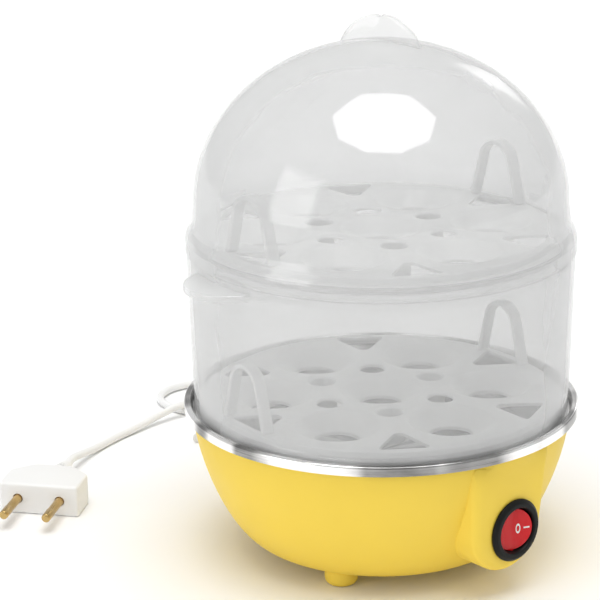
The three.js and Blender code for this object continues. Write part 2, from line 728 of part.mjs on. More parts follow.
const behindClamp = clampDistance - 13;

wire('live_wire', [[1.3, sheathEnd, bushHeight], [2.4, sheathEnd - 2, bushHeight - 0.3], [9, behindClamp, 18],
  polar(30, 140, floorRun), polar(36, 100, floorRun), polar(besideSwitch, 75, floorRun + 2),
  polar(besideSwitch + 1.5, 58, floorRun + 8), inSwitch(3, terminalEnd + 4.3, -1.5),
  inSwitch(0, atTerminal)], brown);
wire('switched_wire', [inSwitch(terminalPitch, atTerminal), inSwitch(8.5, terminalEnd + 6.2, 2),
  polar(besideSwitch, 66, 26), polar(besideSwitch - 6, 78, 22), polar(26, 95, 17),
  polar(bladeCircle + 1.5, thermostatAzimuth - bladeTurn - 3, floorRun + 1),
  polar(bladeCircle, thermostatAzimuth - bladeTurn, bladeFoot)], brown);
wire('fuse_wire', [polar(bladeCircle, thermostatAzimuth + bladeTurn, bladeFoot),
  polar(bladeCircle, thermostatAzimuth + bladeTurn + 3, floorRun + 2), polar(14, 170, floorRun),
  polar(17, fuseAzimuth - fuseTurn - 5, floorRun + 2),
  polar(fuseEndCircle, fuseAzimuth - fuseTurn - 1, fuseFoot - 7),
  polar(fuseEndCircle, fuseAzimuth - fuseTurn, fuseFoot)], ivory);
wire('element_wire', [polar(fuseEndCircle, fuseAzimuth + fuseTurn, fuseFoot),
  polar(fuseEndCircle, fuseAzimuth + fuseTurn + 1, fuseFoot - 7), polar(12, 285, floorRun + 4),
  polar(10, 340, floorRun), polar(20, 20, floorRun + 3),
  polar(elementRadius - 0.5, elementEnd - 1, elementFoot - 5),
  polar(elementRadius, elementEnd, elementFoot)], ivory);
wire('neutral_wire', [[-1.3, sheathEnd, bushHeight], [-2.4, sheathEnd - 2, bushHeight - 0.3],
  [-9, behindClamp, 18], polar(30, 220, floorRun), polar(27, 262, floorRun),
  polar(25, 300, floorRun), polar(26, 322, 17),
  polar(elementRadius - 0.5, 1 - elementEnd, elementFoot - 5),
  polar(elementRadius, -elementEnd, elementFoot)], blue);
wire('lamp_wire', [inSwitch(-terminalPitch, atTerminal), inSwitch(-8, terminalEnd + 6.2, -3),
  polar(besideSwitch - 6, 14, 18), polar(32, -10, floorRun), polar(31, -24, floorRun + 2)], blue);

// ---------------------------------------------------------------- free mains lead
// The route on the table is chosen by hand, from the bush to the coil and on to the plug.
const cordLow = cordRadius + 0.15;
const entryRoute = [[0, bushEnd + gap, bushHeight], [0, bushEnd + 2.5, 21.7], [-1.2, bushEnd + 7, 20.6],
  [-4.6, 104.6, 18.2], [-10, 108.9, 14.4], [-16.4, 110.9, 10.1], [-22.6, 111.3, 6.6], [-28.6, 111.2, 4.6]];
const loopRoute = [[-70.4, 125.8, 3.2], [-80.2, 134.6, 2.1], [-91, 143.6, cordLow], [-100.8, 151, cordLow],
  [-106.8, 160.2, cordLow], [-106.5, 170.6, cordLow], [-100.6, 179.2, cordLow], [-91, 184.2, cordLow],
  [-79.8, 184.4, cordLow], [-70, 179.4, cordLow], [-65.2, 170.2, 2.2], [-67.6, 160.2, 3],
  [-75.4, 152.8, 4.4], [-85, 148.4, 5.5], [-95.6, 142.9, 5.6], [-104.6, 134.6, 4], [-113.8, 123.4, 2.4],
  [-122.8, 110.6, cordLow], [-130.4, 96.6, 2.2], [-136, 81.4, 4.6], [-138.3, 71.8, 6.5],
  [-139.5, plugCentre[1] + 0.4, plugAxis]];

add('cord_to_coil', tube(entryRoute, cordRadius, 12), whitePlastic);
add('cord_to_plug', tube(loopRoute, cordRadius, 42), whitePlastic);
add('cord_coil', turned([[coilInner, coilLow + 1], [coilInner + 1, coilLow], [coilOuter - 1, coilLow],
  [coilOuter, coilLow + 1], [coilOuter, coilHigh - 1], [coilOuter - 1, coilHigh],
  [coilInner + 1, coilHigh], [coilInner, coilHigh - 1]], 24).translate([...coilCentre, 0]), whitePlastic);

// A soft strap round the coil, with a short tail lying away from it
function tie() {
  const near = coilInner - 2 * gap;
  const wide = coilOuter + gap + tieSlack;
  const low = coilLow - gap / 2;
  const high = coilHigh + gap;
  const t = tieThickness;
  const inner = [[near, low], [wide, low], [wide, high], [near, high]];
  const outer = [[near - t, low - t], [wide + t, low - t], [wide + t, high + t], [near - t, high + t]];
  const band = panel(outer, -tieWidth / 2, tieWidth / 2)
    .subtract(panel(inner, -tieWidth, tieWidth));
  const far = coilOuter + tieTail;
  const side = tieWidth / 2 - tieTailThickness;
  const middle = tieTailLow + tieTailWidth / 2;
  const tail = block([wide, side, tieTailLow], [far, tieWidth / 2, tieTailLow + tieTailWidth]);
  const end = rod(tieTailWidth / 2, 0, tieTailThickness).rotate([-90, 0, 0]).translate([far, side, middle]);
  return band.add(tail).add(end).rotate([0, 0, tieAngle]).translate([...coilCentre, 0]);
}
add('cord_tie', tie(), whitePlastic);

// Flat two-pin plug, lying on its side on the table
const plug = new THREE.Group();
plug.rotation.z = radians(plugAzimuth);
plug.position.set(plugCentre[0], plugCentre[1], 0);
group.add(plug);
function plugShell() {
  const face = -plugSleeve - plugBody;
  const back = -plugSleeve;
  const half = plugWidth / 2;
  const outline = rounded([[half, face], [half, back - 8], [9, back], [-9, back], [-half, back - 8],
    [-half, face]], 3);
  const waist = rounded([[half, 1.4], [half, plugThickness - 1.4], [half - 2.4, plugThickness],
    [2.4 - half, plugThickness], [-half, plugThickness - 1.4], [-half, 1.4], [2.4 - half, 0],
    [half - 2.4, 0]], 0.5, 1);
  const body = slab(outline, 0, plugThickness).intersect(panel(waist, face - 1, back + 1));
  const sleeve = turned([[0, 0], [cordRadius + 0.8, 0], [cordRadius + 1.1, -0.6],
    [5.4, -plugSleeve + 1], [5.6, -plugSleeve - 1], [0, -plugSleeve - 1]]).rotate([-90, 0, 0])
    .translate([0, 0, plugAxis]);
  let shape = body.add(sleeve);
  for (const side of [-1, 1]) {
    shape = shape.subtract(pinAt(side, pinRadius + gap, face - 1, face + 7));
  }
  return shape;
}
function pinAt(side, radius, from, to) {
  const shape = rod(radius, from, to, 12).rotate([-90, 0, 0]);
  return shape.translate([(side * pinSpacing) / 2, 0, plugAxis]);
}
add('plug_body', plugShell(), whitePlastic, plug);
for (const [side, word] of [[-1, 'left'], [1, 'right']]) {
  const face = -plugSleeve - plugBody;
  const shaft = turned([[0, -pinLength], [pinRadius - 0.9, -pinLength], [pinRadius, -pinLength + 1.4],
    [pinRadius, 6.5], [0, 6.5]], 12).rotate([-90, 0, 0]);
  add(`plug_pin_${word}`, shaft.translate([(side * pinSpacing) / 2, face, plugAxis]), brass, plug);
}

// ---------------------------------------------------------------- egg trays
function ventOutline() {
  const corners = [[-ventHalfWidth, -ventOuter], [ventHalfWidth, -ventOuter],
    [1.8, -ventOuter + ventDepth], [-1.8, -ventOuter + ventDepth]];
  return rounded(corners, ventCorner, 1);
}

// The turned edge keeps its facets in line with the drum's, whichever way the tray is turned.
function tray(azimuth) {
  const t = trayThickness;
  const lip = trayRadius - trayLipWidth;
  let shape = turned([[0, 0], [deckRadius - 0.6, 0], [deckRadius, -0.6], [deckRadius + 0.4, -trayStep],
    [trayRadius, -trayStep], [trayRadius, -trayDepth], [lip, -trayDepth], [lip, -trayStep - t],
    [deckRadius - 0.9, -trayStep - t], [deckRadius - 1.3, -t], [0, -t]]).rotate([0, 0, -azimuth]);
  const cup = [[0, -t / 2], [cupRadius + cupWall, -t / 2], [cupHoleRadius + cupWall, -cupDepth - cupWall],
    [0, -cupDepth - cupWall]];
  const hollow = [[0, 1], [cupRadius + 0.5, 1], [cupRadius + 0.5, 0], [cupHoleRadius, -cupDepth],
    [cupHoleRadius, -cupDepth - 2], [0, -cupDepth - 2]];
  const cups = around(cupCount, 180 / cupCount).map((turn) => [cupCircle, turn]);
  for (const [radius, turn] of [[0, 0], ...cups]) {
    const place = (s) => atAzimuth(s.translate([0, -radius, 0]), turn);
    shape = shape.add(place(turned(cup))).subtract(place(turned(hollow)));
  }
  around(cupCount).forEach((turn, k) => {
    const place = (s) => atAzimuth(s.translate([0, -roundHoleCircle, 0]), turn);
    if (k % 2 === 0) {
      shape = shape.add(place(rod(roundHoleRadius + legWall, -legDepth, -t / 2, 10)));
      shape = shape.subtract(place(rod(roundHoleRadius, -legDepth + legWall, 1, 10)));
    } else {
      shape = shape.subtract(place(rod(roundHoleRadius, -legDepth, 1, 10)));
    }
    shape = shape.subtract(atAzimuth(slab(ventOutline(), -9, 1), turn));
  });
  return shape;
}

// An arch over one of the openings near the tray's edge.
function handle() {
  const arch = handleHeight - handleTopRadius;
  const inner = handleTopRadius - handleBand;
  const outline = [[handleHalfSpan, gap], ...arc(0, arch, handleTopRadius, 8, 172, 9),
    [-handleHalfSpan, gap], [-handleHalfSpan + handleBand + 0.5, gap],
    ...arc(0, arch, inner, 172, 8, 9), [handleHalfSpan - handleBand - 0.5, gap]];
  return panel(outline, -handleFace, -handleFace + handleWidth);
}

for (const [word, deck, azimuth] of [['lower', lowerDeck, lowerTrayAzimuth],
  ['upper', upperDeck, upperTrayAzimuth]]) {
  const trayGroup = new THREE.Group();
  trayGroup.position.z = deck;
  trayGroup.rotation.z = radians(azimuth);
  group.add(trayGroup);
  add(`${word}_tray`, tray(azimuth), milkyPlastic, trayGroup);
  add(`${word}_tray_handle_left`, atAzimuth(handle(), -60), milkyPlastic, trayGroup);
  add(`${word}_tray_handle_right`, atAzimuth(handle(), 120), milkyPlastic, trayGroup);
}

// ---------------------------------------------------------------- drum
function drum() {
  const spigot = spigotRadius;
  const top = drumShoulder + spigotHeight;
  const ledgeInner = trayRadius + gap - drumLedgeWidth;
  let shape = turned([[drumRadius - drumWall, drumBottom], [drumRadius, drumBottom],
    [drumTopRadius, drumShoulder], [spigot, drumShoulder], [spigot, top - 0.4], [spigot - 0.4, top],
    [trayRadius + gap + 0.2, top], [trayRadius + gap, drumLedge], [ledgeInner, drumLedge],
    [ledgeInner, drumLedge - 1.4], [drumTopRadius - drumWall - 0.1, drumShoulder - 4]]);
  const lugTop = drumShoulder - lugBelowShoulder;
  const lugAt = drumTopRadius + lugReach - lugRadius;
  const edge = [[0, lugTop - lugThickness], [lugRadius - 0.5, lugTop - lugThickness],
    [lugRadius, lugTop - lugThickness + 0.8], [lugRadius, lugTop - 0.8], [lugRadius - 0.5, lugTop],
    [0, lugTop]];
  for (const azimuth of [lugAzimuth, lugAzimuth + 180]) {
    const lug = atAzimuth(turned(edge, 24).translate([0, -lugAt, 0]), azimuth);
    shape = shape.add(lug.subtract(rod(drumTopRadius - drumWall / 2 - 0.1, 0, drumShoulder)));
  }
  return shape;
}
add('steam_drum', drum(), clearPlastic);

// ---------------------------------------------------------------- lid
function domeCurve(inset) {
  const steps = 8;
  const points = [];
  for (let k = 0; k <= steps; k++) {
    const angle = (Math.PI / 2) * (k / steps);
    points.push([(domeRadius - inset) * Math.cos(angle),
      domeBase + (apex - inset - domeBase) * Math.sin(angle)]);
  }
  points.at(-1)[0] = 0;
  return points;
}

function lid() {
  const skirtTop = lidBottom + lidSkirtHeight;
  const shoulderTop = lidBottom + lidShoulderHeight;
  const outer = [[lidRadius, lidBottom], [lidRadius, skirtTop - 0.4], [lidRadius - 0.7, skirtTop + 2],
    [domeRadius + 1.3, skirtTop + 4.6], [domeRadius + 0.7, shoulderTop], ...domeCurve(0)];
  const inner = [...domeCurve(lidWall).reverse(), [domeRadius + 0.7 - lidWall, shoulderTop],
    [domeRadius + 1.2 - lidWall, skirtTop + 4.2], [lidRadius - 0.9 - lidWall, skirtTop + 1.4],
    [lidRadius - lidWall, skirtTop - 0.6], [lidRadius - lidWall, lidBottom]];
  const shell = turned([[0, lidBottom - 1], [lidRadius + 1, lidBottom - 1], ...outer.slice(1)]
    .map(([r, z]) => [Math.min(r, lidRadius), Math.max(z, lidBottom)]));
  const hollow = turned([...inner, [lidRadius - lidWall, lidBottom - 1], [0, lidBottom - 1]]);
  return shell.add(tab()).subtract(hollow);
}

function tab() {
  const rise = tabHeight + 2;
  const radius = (tabHalfLength ** 2 + rise ** 2) / (2 * rise);
  const centre = apex + tabHeight - radius;
  const outline = arc(0, centre, radius, -5, 185, 16);
  const fin = panel(outline, -tabThickness / 2, tabThickness / 2);
  const notch = rod(0.9, -3, 3, 8).rotate([90, 0, 0]).translate([0, 0, apex + tabHeight]);
  return atAzimuth(fin.subtract(notch), tabAzimuth);
}
add('dome_lid', lid(), clearPlastic);

export default group;
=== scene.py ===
"""Builds the looks of a two-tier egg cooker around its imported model.

Outlines are in millimetres and every finished piece is in metres. The origin is on the table
under the middle of the base, +Z is up and -Y is the front. An azimuth is an angle from the
front towards +X.
"""

import math

import bmesh
import bpy
from bpy.props import FloatProperty, FloatVectorProperty, PointerProperty
from mathutils import Matrix, Quaternion, Vector


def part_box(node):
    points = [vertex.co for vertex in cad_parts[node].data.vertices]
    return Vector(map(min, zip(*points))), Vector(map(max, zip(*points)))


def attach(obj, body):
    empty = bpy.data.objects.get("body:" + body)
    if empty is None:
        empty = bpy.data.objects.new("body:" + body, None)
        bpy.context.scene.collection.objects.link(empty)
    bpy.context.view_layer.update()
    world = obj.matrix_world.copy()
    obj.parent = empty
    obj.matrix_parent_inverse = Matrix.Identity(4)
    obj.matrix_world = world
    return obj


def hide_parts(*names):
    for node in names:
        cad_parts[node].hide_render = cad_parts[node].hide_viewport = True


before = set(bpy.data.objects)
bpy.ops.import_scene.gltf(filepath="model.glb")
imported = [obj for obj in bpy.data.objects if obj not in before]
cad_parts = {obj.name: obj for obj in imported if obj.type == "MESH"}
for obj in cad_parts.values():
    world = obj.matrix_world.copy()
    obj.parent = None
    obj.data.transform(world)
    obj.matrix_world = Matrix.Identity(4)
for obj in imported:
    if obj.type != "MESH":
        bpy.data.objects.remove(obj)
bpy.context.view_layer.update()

bl_info = {
    "name": "Egg Cooker",
    "version": (1, 0, 0),
    "blender": (4, 5, 0),
    "location": "3D View > Sidebar > Egg Cooker",
    "description": "Builds the pieces and finishes of a two-tier egg cooker",
    "category": "Object",
}

MM = 0.001
WIDE_SIDES = 160  # of a round piece as wide as the cooker
CUP_SIDES = 48
SMALL_SIDES = 40


def corner(node, high=True):
    """The highest or lowest corner of a CAD node, in millimetres."""
    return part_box(node)[1 if high else 0] / MM


# ---------------------------------------------------------------- places taken from the frame
RIM_RADIUS = corner("heating_dish").x
RIM_TOP = corner("heating_dish").z
HOUSING_TOP = corner("base_housing").z
HOUSING_RADIUS = RIM_RADIUS - 3.25
LEDGE = RIM_TOP - 3.3
DRUM_BOTTOM = corner("steam_drum", high=False).z
DRUM_TOP = corner("steam_drum").z
SHOULDER = DRUM_TOP - 5.1
LOWER_DECK = corner("lower_tray").z
UPPER_DECK = corner("upper_tray").z
LID_BOTTOM = corner("dome_lid", high=False).z
BUSH_END = corner("cord_bush").y
CORD_RADIUS = 1.8
HOUSING_WALL = 2.2
HOUSING_FLOOR = 7.25  # height of the housing's underside above the table
HOUSING_FLAT_RADIUS = 52.9  # of the flat underside
BOWL_POWER = 1.342  # how square the housing's bowl is; 1 would be an ellipse
POST_CIRCLE = 36
POST_AZIMUTH = 60
FOOT_CIRCLE = 45.5
FOOT_AZIMUTH = -20
BOSS_AZIMUTH = 43
BOSS_FACE = HOUSING_RADIUS - 1.05
BOSS_HEIGHT = 28.4
BUSH_HEIGHT = 22
BUSH_SEAT = 70
DRUM_RADIUS = HOUSING_RADIUS - 0.95
DRUM_TOP_RADIUS = DRUM_RADIUS + 1.5
TRAY_RADIUS = DRUM_RADIUS - 1.8
DECK_RADIUS = TRAY_RADIUS - 3.8
LID_RADIUS = DRUM_TOP_RADIUS + 0.45
TRAY_TURNS = {"lower": 8, "upper": 12}
COIL_CENTRE = Vector((-45, 131, 0))
STRAP_ANGLE = 207
PLUG_PLACE = Vector((-139.5, 63, 0))
PLUG_TURN = -9.8
PLUG_THICKNESS = 13.7
PIN_SPACING = 18.6


# ---------------------------------------------------------------- settings
class HousingSettings(bpy.types.PropertyGroup):
    color: FloatVectorProperty(
        name="Housing Color", description="Colour of the bowl-shaped housing",
        subtype="COLOR", size=3, min=0, max=1, default=(0.9, 0.655, 0.08))
    roughness: FloatProperty(
        name="Housing Roughness", description="How matt the moulded housing is",
        min=0, max=1, default=0.46)
    edge: FloatProperty(
        name="Edge Radius", description="Rounding along the housing's edges",
        default=0.0008, min=0, unit="LENGTH", precision=4)


class PlasticSettings(bpy.types.PropertyGroup):
    clear_color: FloatVectorProperty(
        name="Clear Color", description="Tint of the lid and the drum",
        subtype="COLOR", size=3, min=0, max=1, default=(0.74, 0.745, 0.74))
    clear_density: FloatProperty(
        name="Clear Density", description="How much the lid and the drum hide, seen face on",
        min=0, max=1, default=0.3)
    milky_color: FloatVectorProperty(
        name="Tray Color", description="Colour of the egg trays",
        subtype="COLOR", size=3, min=0, max=1, default=(0.95, 0.95, 0.95))
    milky_density: FloatProperty(
        name="Tray Density", description="How much the egg trays hide",
        min=0, max=1, default=0.78)


class LeadSettings(bpy.types.PropertyGroup):
    color: FloatVectorProperty(
        name="Lead Color", description="Colour of the mains lead and its plug",
        subtype="COLOR", size=3, min=0, max=1, default=(0.83, 0.83, 0.82))
    diameter: FloatProperty(
        name="Diameter", description="Thickness of the mains lead",
        default=2 * CORD_RADIUS * MM, min=0.001, unit="LENGTH", precision=4)


class StageSettings(bpy.types.PropertyGroup):
    floor_color: FloatVectorProperty(
        name="Floor Color", description="Colour of the floor",
        subtype="COLOR", size=3, min=0, max=1, default=(0.93, 0.93, 0.93))
    fill: FloatProperty(
        name="Fill Light", description="Strength of the even light from all sides",
        min=0, default=0.6)
    overhead: FloatProperty(
        name="Overhead Light", description="Strength of the eight-sided soft box overhead",
        min=0, default=3.6)
    side: FloatProperty(
        name="Side Light", description="Strength of the soft boxes at the left and behind",
        min=0, default=1.8)
    lens: FloatProperty(
        name="Lens", description="Focal length of the camera",
        default=132.54, min=1, unit="CAMERA")


# ---------------------------------------------------------------- outlines
def rounded(corners, closed=True, steps=4):
    """An outline through corners of (x, y) or (x, y, radius), rounded where a radius is given."""
    points = []
    count = len(corners)
    for k, (x, y, *rest) in enumerate(corners):
        here = Vector((x, y))
        end = not closed and k in (0, count - 1)
        if not rest or end:
            points.append((x, y))
            continue
        before = Vector(corners[k - 1][:2]) - here
        after = Vector(corners[(k + 1) % count][:2]) - here
        reach = rest[0] / math.tan(before.angle(after) / 2)
        reach = min(reach, 0.48 * before.length, 0.48 * after.length)
        first = here + before.normalized() * reach
        last = here + after.normalized() * reach
        for step in range(steps + 1):
            t = step / steps
            point = first * (1 - t) ** 2 + here * (2 * t * (1 - t)) + last * t * t
            points.append((point.x, point.y))
    return points


def arc(x, y, radius, start, end, steps):
    """Points of an arc between two angles in degrees."""
    angles = [math.radians(start + (end - start) * k / steps) for k in range(steps + 1)]
    return [(x + radius * math.cos(a), y + radius * math.sin(a)) for a in angles]


def box_outline(half_x, low, high, radius):
    return rounded([(-half_x, low, radius), (half_x, low, radius), (half_x, high, radius),
                    (-half_x, high, radius)])


# ---------------------------------------------------------------- solids
def new_object(name, mesh):
    bmesh.ops.recalc_face_normals(mesh, faces=mesh.faces)
    data = bpy.data.meshes.new(name)
    mesh.to_mesh(data)
    mesh.free()
    piece = bpy.data.objects.new(name, data)
    bpy.context.scene.collection.objects.link(piece)
    return piece


def turned(name, outline, sides=WIDE_SIDES):
    """A closed outline of (radius, height) points turned about Z."""
    mesh = bmesh.new()
    rings = []
    for radius, height in outline:
        count = 1 if radius < 1e-6 else sides
        angles = [math.tau * k / count for k in range(count)]
        rings.append([mesh.verts.new((radius * math.cos(a), radius * math.sin(a), height))
                      for a in angles])
    onto_axis = len(rings[0]) == 1 and len(rings[-1]) == 1
    pairs = list(zip(rings, rings[1:])) + ([] if onto_axis else [(rings[-1], rings[0])])
    for first, second in pairs:
        for k in range(sides):
            corners = [first[k % len(first)], first[(k + 1) % len(first)],
                       second[(k + 1) % len(second)], second[k % len(second)]]
            unique = list(dict.fromkeys(corners))
            if len(unique) > 2:
                mesh.faces.new(unique)
    return new_object(name, mesh)


def raised(name, outline, low, high):
    """An outline in X and Y, raised from low to high."""
    mesh = bmesh.new()
    bottom = [mesh.verts.new((x, y, low)) for x, y in outline]
    top = [mesh.verts.new((x, y, high)) for x, y in outline]
    mesh.faces.new(bottom[::-1])
    mesh.faces.new(top)
    for k in range(len(outline)):
        n = (k + 1) % len(outline)
        mesh.faces.new([bottom[k], bottom[n], top[n], top[k]])
    return new_object(name, mesh)


def upright(name, outline, near, far):
    """An outline in X and Z, with its thickness along Y from near to far."""
    piece = raised(name, outline, -far, -near)
    return moved(piece, Matrix.Rotation(math.pi / 2, 4, "X"))


def moved(piece, matrix):
    piece.data.transform(matrix)
    return piece


def shift(x, y, z):
    return Matrix.Translation((x, y, z))


def spin(degrees):
    return Matrix.Rotation(math.radians(degrees), 4, "Z")


def around(count, start=0):
    return [start + 360 * k / count for k in range(count)]


OUTWARD = Matrix.Rotation(math.pi / 2, 4, "X")  # turns +Z to point out of the front, along -Y
INWARD = Matrix.Rotation(-math.pi / 2, 4, "X")


def applied(piece):
    """Bakes a piece's modifiers into its mesh."""
    graph = bpy.context.evaluated_depsgraph_get()
    data = bpy.data.meshes.new_from_object(piece.evaluated_get(graph))
    piece.modifiers.clear()
    piece.data = data
    return piece


def combined(piece, tools, operation):
    """Joins a piece with the tools or cuts it with them, and removes the tools."""
    group = bpy.data.collections.new("tools")
    for tool in tools:
        group.objects.link(tool)
    modifier = piece.modifiers.new("combined", "BOOLEAN")
    modifier.operand_type = "COLLECTION"
    modifier.collection = group
    modifier.solver = "EXACT"
    modifier.operation = operation
    applied(piece)
    for tool in tools:
        bpy.data.objects.remove(tool)
    bpy.data.collections.remove(group)
    return piece


def joined(piece, tools):
    return combined(piece, tools, "UNION")


def cut(piece, tools):
    return combined(piece, tools, "DIFFERENCE")


def softened(piece, radius, angle=40, segments=2):
    """Rounds the edges that are sharper than an angle."""
    modifier = piece.modifiers.new("softened", "BEVEL")
    modifier.width = radius
    modifier.segments = segments
    modifier.limit_method = "ANGLE"
    modifier.angle_limit = math.radians(angle)
    return applied(piece)


def settled(piece, body, slot, replaces=(), smooth=35):
    """Scales a piece to metres, gives it its finish and lets it ride on its body."""
    if piece.type == "MESH":
        moved(piece, Matrix.Scale(MM, 4))
        piece.data.shade_smooth()
        piece.data.set_sharp_from_angle(angle=math.radians(smooth))
    piece.data.materials.clear()
    piece.data.materials.append(finish(slot))
    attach(piece, body)
    if replaces:
        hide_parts(*replaces)
    return piece


# ---------------------------------------------------------------- shared effects
def node(tree, kind, values=None, **properties):
    made = tree.nodes.new(kind)
    for name, value in properties.items():
        setattr(made, name, value)
    for name, value in (values or {}).items():
        made.inputs[name].default_value = value
    return made


def link(tree, source, target):
    tree.links.new(source, target)


def new_group(name, inputs, outputs):
    """A shader node group with named sockets, its input node and its output node."""
    tree = bpy.data.node_groups.new(name, "ShaderNodeTree")
    for label, kind, default in inputs:
        socket = tree.interface.new_socket(label, in_out="INPUT", socket_type=kind)
        socket.default_value = default
    for label, kind in outputs:
        tree.interface.new_socket(label, in_out="OUTPUT", socket_type=kind)
    return tree, tree.nodes.new("NodeGroupInput"), tree.nodes.new("NodeGroupOutput")


def math_node(tree, operation, first, second):
    made = node(tree, "ShaderNodeMath", operation=operation)
    for socket, value in zip(made.inputs, (first, second)):
        if isinstance(value, (int, float)):
            socket.default_value = value
        else:
            link(tree, value, socket)
    return made.outputs[0]


def shaded(tree, color, factor):
    """A colour made lighter or darker by a factor that changes over the surface."""
    made = node(tree, "ShaderNodeVectorMath", operation="SCALE")
    link(tree, color, made.inputs[0])
    link(tree, factor, made.inputs["Scale"])
    return made.outputs[0]


def moulded_group():
    """Plastic from a mould: faint clouds, a fine grain and rubbed patches."""
    tree, source, result = new_group(
        "Moulded Surface",
        [("Color", "NodeSocketColor", (0.8, 0.8, 0.8, 1)), ("Clouds", "NodeSocketFloat", 0.05),
         ("Roughness", "NodeSocketFloat", 0.5), ("Rubbing", "NodeSocketFloat", 0.1),
         ("Grain", "NodeSocketFloat", 900.0)],
        [("Color", "NodeSocketColor"), ("Roughness", "NodeSocketFloat"),
         ("Height", "NodeSocketFloat")])
    place = node(tree, "ShaderNodeTexCoord").outputs["Object"]
    clouds = node(tree, "ShaderNodeTexNoise", {"Scale": 28.0, "Detail": 4.0, "Roughness": 0.55})
    patches = node(tree, "ShaderNodeTexNoise", {"Scale": 90.0, "Detail": 3.0, "Distortion": 0.6})
    grain = node(tree, "ShaderNodeTexNoise", {"Detail": 3.0, "Roughness": 0.6})
    specks = node(tree, "ShaderNodeTexVoronoi", {"Scale": 420.0})
    for texture in (clouds, patches, grain, specks):
        link(tree, place, texture.inputs["Vector"])
    link(tree, source.outputs["Grain"], grain.inputs["Scale"])
    centred = math_node(tree, "SUBTRACT", clouds.outputs["Fac"], 0.5)
    change = math_node(tree, "MULTIPLY", centred, source.outputs["Clouds"])
    speck = math_node(tree, "LESS_THAN", specks.outputs["Distance"], 0.05)
    speck = math_node(tree, "MULTIPLY", speck, math_node(tree, "MULTIPLY",
                                                         source.outputs["Clouds"], -0.6))
    factor = math_node(tree, "ADD", math_node(tree, "ADD", change, 1.0), speck)
    link(tree, shaded(tree, source.outputs["Color"], factor), result.inputs["Color"])
    patch = math_node(tree, "SUBTRACT", patches.outputs["Fac"], 0.5)
    rubbed = math_node(tree, "MULTIPLY", patch, source.outputs["Rubbing"])
    link(tree, math_node(tree, "ADD", source.outputs["Roughness"], rubbed),
         result.inputs["Roughness"])
    link(tree, grain.outputs["Fac"], result.inputs["Height"])
    return tree


def turned_metal_group():
    """Metal polished on a lathe: fine rings and streaks round the axis, with broad patches of painted
    darker reflection in its colour.
    """
    tree, source, result = new_group(
        "Turned Metal",
        [("Color", "NodeSocketColor", (0.7, 0.7, 0.7, 1)), ("Contrast", "NodeSocketFloat", 0.3),
         ("Roughness", "NodeSocketFloat", 0.25), ("Ring Density", "NodeSocketFloat", 2600.0)],
        [("Color", "NodeSocketColor"), ("Roughness", "NodeSocketFloat"),
         ("Height", "NodeSocketFloat")])
    place = node(tree, "ShaderNodeTexCoord").outputs["Object"]
    apart = node(tree, "ShaderNodeSeparateXYZ")
    link(tree, place, apart.inputs[0])
    x, y, z = apart.outputs
    squares = [math_node(tree, "MULTIPLY", part, part) for part in (x, y)]
    across = math_node(tree, "SQRT", math_node(tree, "ADD", *squares), 0)
    outward = math_node(tree, "MAXIMUM", across, 0.001)
    sine = math_node(tree, "DIVIDE", y, outward)
    cosine = math_node(tree, "DIVIDE", x, outward)
    reach = math_node(tree, "ADD", across, z)

    def around_axis(along, turn, detail):
        """Noise that changes by one factor along the outline and by another round the axis."""
        at = node(tree, "ShaderNodeCombineXYZ")
        link(tree, math_node(tree, "MULTIPLY", reach, along), at.inputs["X"])
        link(tree, math_node(tree, "MULTIPLY", cosine, turn), at.inputs["Y"])
        link(tree, math_node(tree, "MULTIPLY", sine, turn), at.inputs["Z"])
        noise = node(tree, "ShaderNodeTexNoise", {"Scale": 1.0, "Detail": detail})
        link(tree, at.outputs[0], noise.inputs["Vector"])
        return noise.outputs["Fac"]

    rings = around_axis(source.outputs["Ring Density"], 2.4, 2.0)
    streaks = around_axis(180, 5.0, 4.0)
    # Broad patches round the axis: painted darker reflections, made by darkening the metal's colour.
    painted_reflection_bands = node(tree, "ShaderNodeMapRange", {"From Min": 0.4, "From Max": 0.6, "To Min": -1.0,
                                              "To Max": 0.35}, interpolation_type="SMOOTHSTEP")
    link(tree, around_axis(6, 3.4, 1.0), painted_reflection_bands.inputs["Value"])
    fine = math_node(tree, "SUBTRACT", math_node(tree, "ADD", streaks, rings), 1.0)
    both = math_node(tree, "ADD", math_node(tree, "MULTIPLY", fine, 0.7), painted_reflection_bands.outputs["Result"])
    change = math_node(tree, "MULTIPLY", both, source.outputs["Contrast"])
    factor = math_node(tree, "ADD", change, 1.0)
    link(tree, shaded(tree, source.outputs["Color"], factor), result.inputs["Color"])
    rough = math_node(tree, "MULTIPLY", math_node(tree, "SUBTRACT", rings, 0.5), 0.2)
    link(tree, math_node(tree, "ADD", source.outputs["Roughness"], rough),
         result.inputs["Roughness"])
    link(tree, rings, result.inputs["Height"])
    return tree


def cloudy_group():
    """How dense thin plastic is from place to place: slow clouds and fine flow marks."""
    tree, source, result = new_group(
        "Cloudy Wall",
        [("Density", "NodeSocketFloat", 0.2), ("Clouds", "NodeSocketFloat", 0.2)],
        [("Density", "NodeSocketFloat"), ("Height", "NodeSocketFloat")])
    place = node(tree, "ShaderNodeTexCoord").outputs["Object"]
    clouds = node(tree, "ShaderNodeTexNoise", {"Scale": 22.0, "Detail": 5.0, "Roughness": 0.5})
    flow = node(tree, "ShaderNodeTexNoise", {"Scale": 160.0, "Detail": 2.0, "Distortion": 0.4})
    for texture in (clouds, flow):
        link(tree, place, texture.inputs["Vector"])
    centred = math_node(tree, "SUBTRACT", clouds.outputs["Fac"], 0.5)
    change = math_node(tree, "ADD", math_node(tree, "MULTIPLY", centred,
                                              source.outputs["Clouds"]), 1.0)
    link(tree, math_node(tree, "MULTIPLY", source.outputs["Density"], change),
         result.inputs["Density"])
    link(tree, flow.outputs["Fac"], result.inputs["Height"])
    return tree


def effect(name):
    """One of the shared node groups, built the first time it is asked for."""
    makers = {"Moulded Surface": moulded_group, "Turned Metal": turned_metal_group,
              "Cloudy Wall": cloudy_group}
    return bpy.data.node_groups.get(name) or makers[name]()


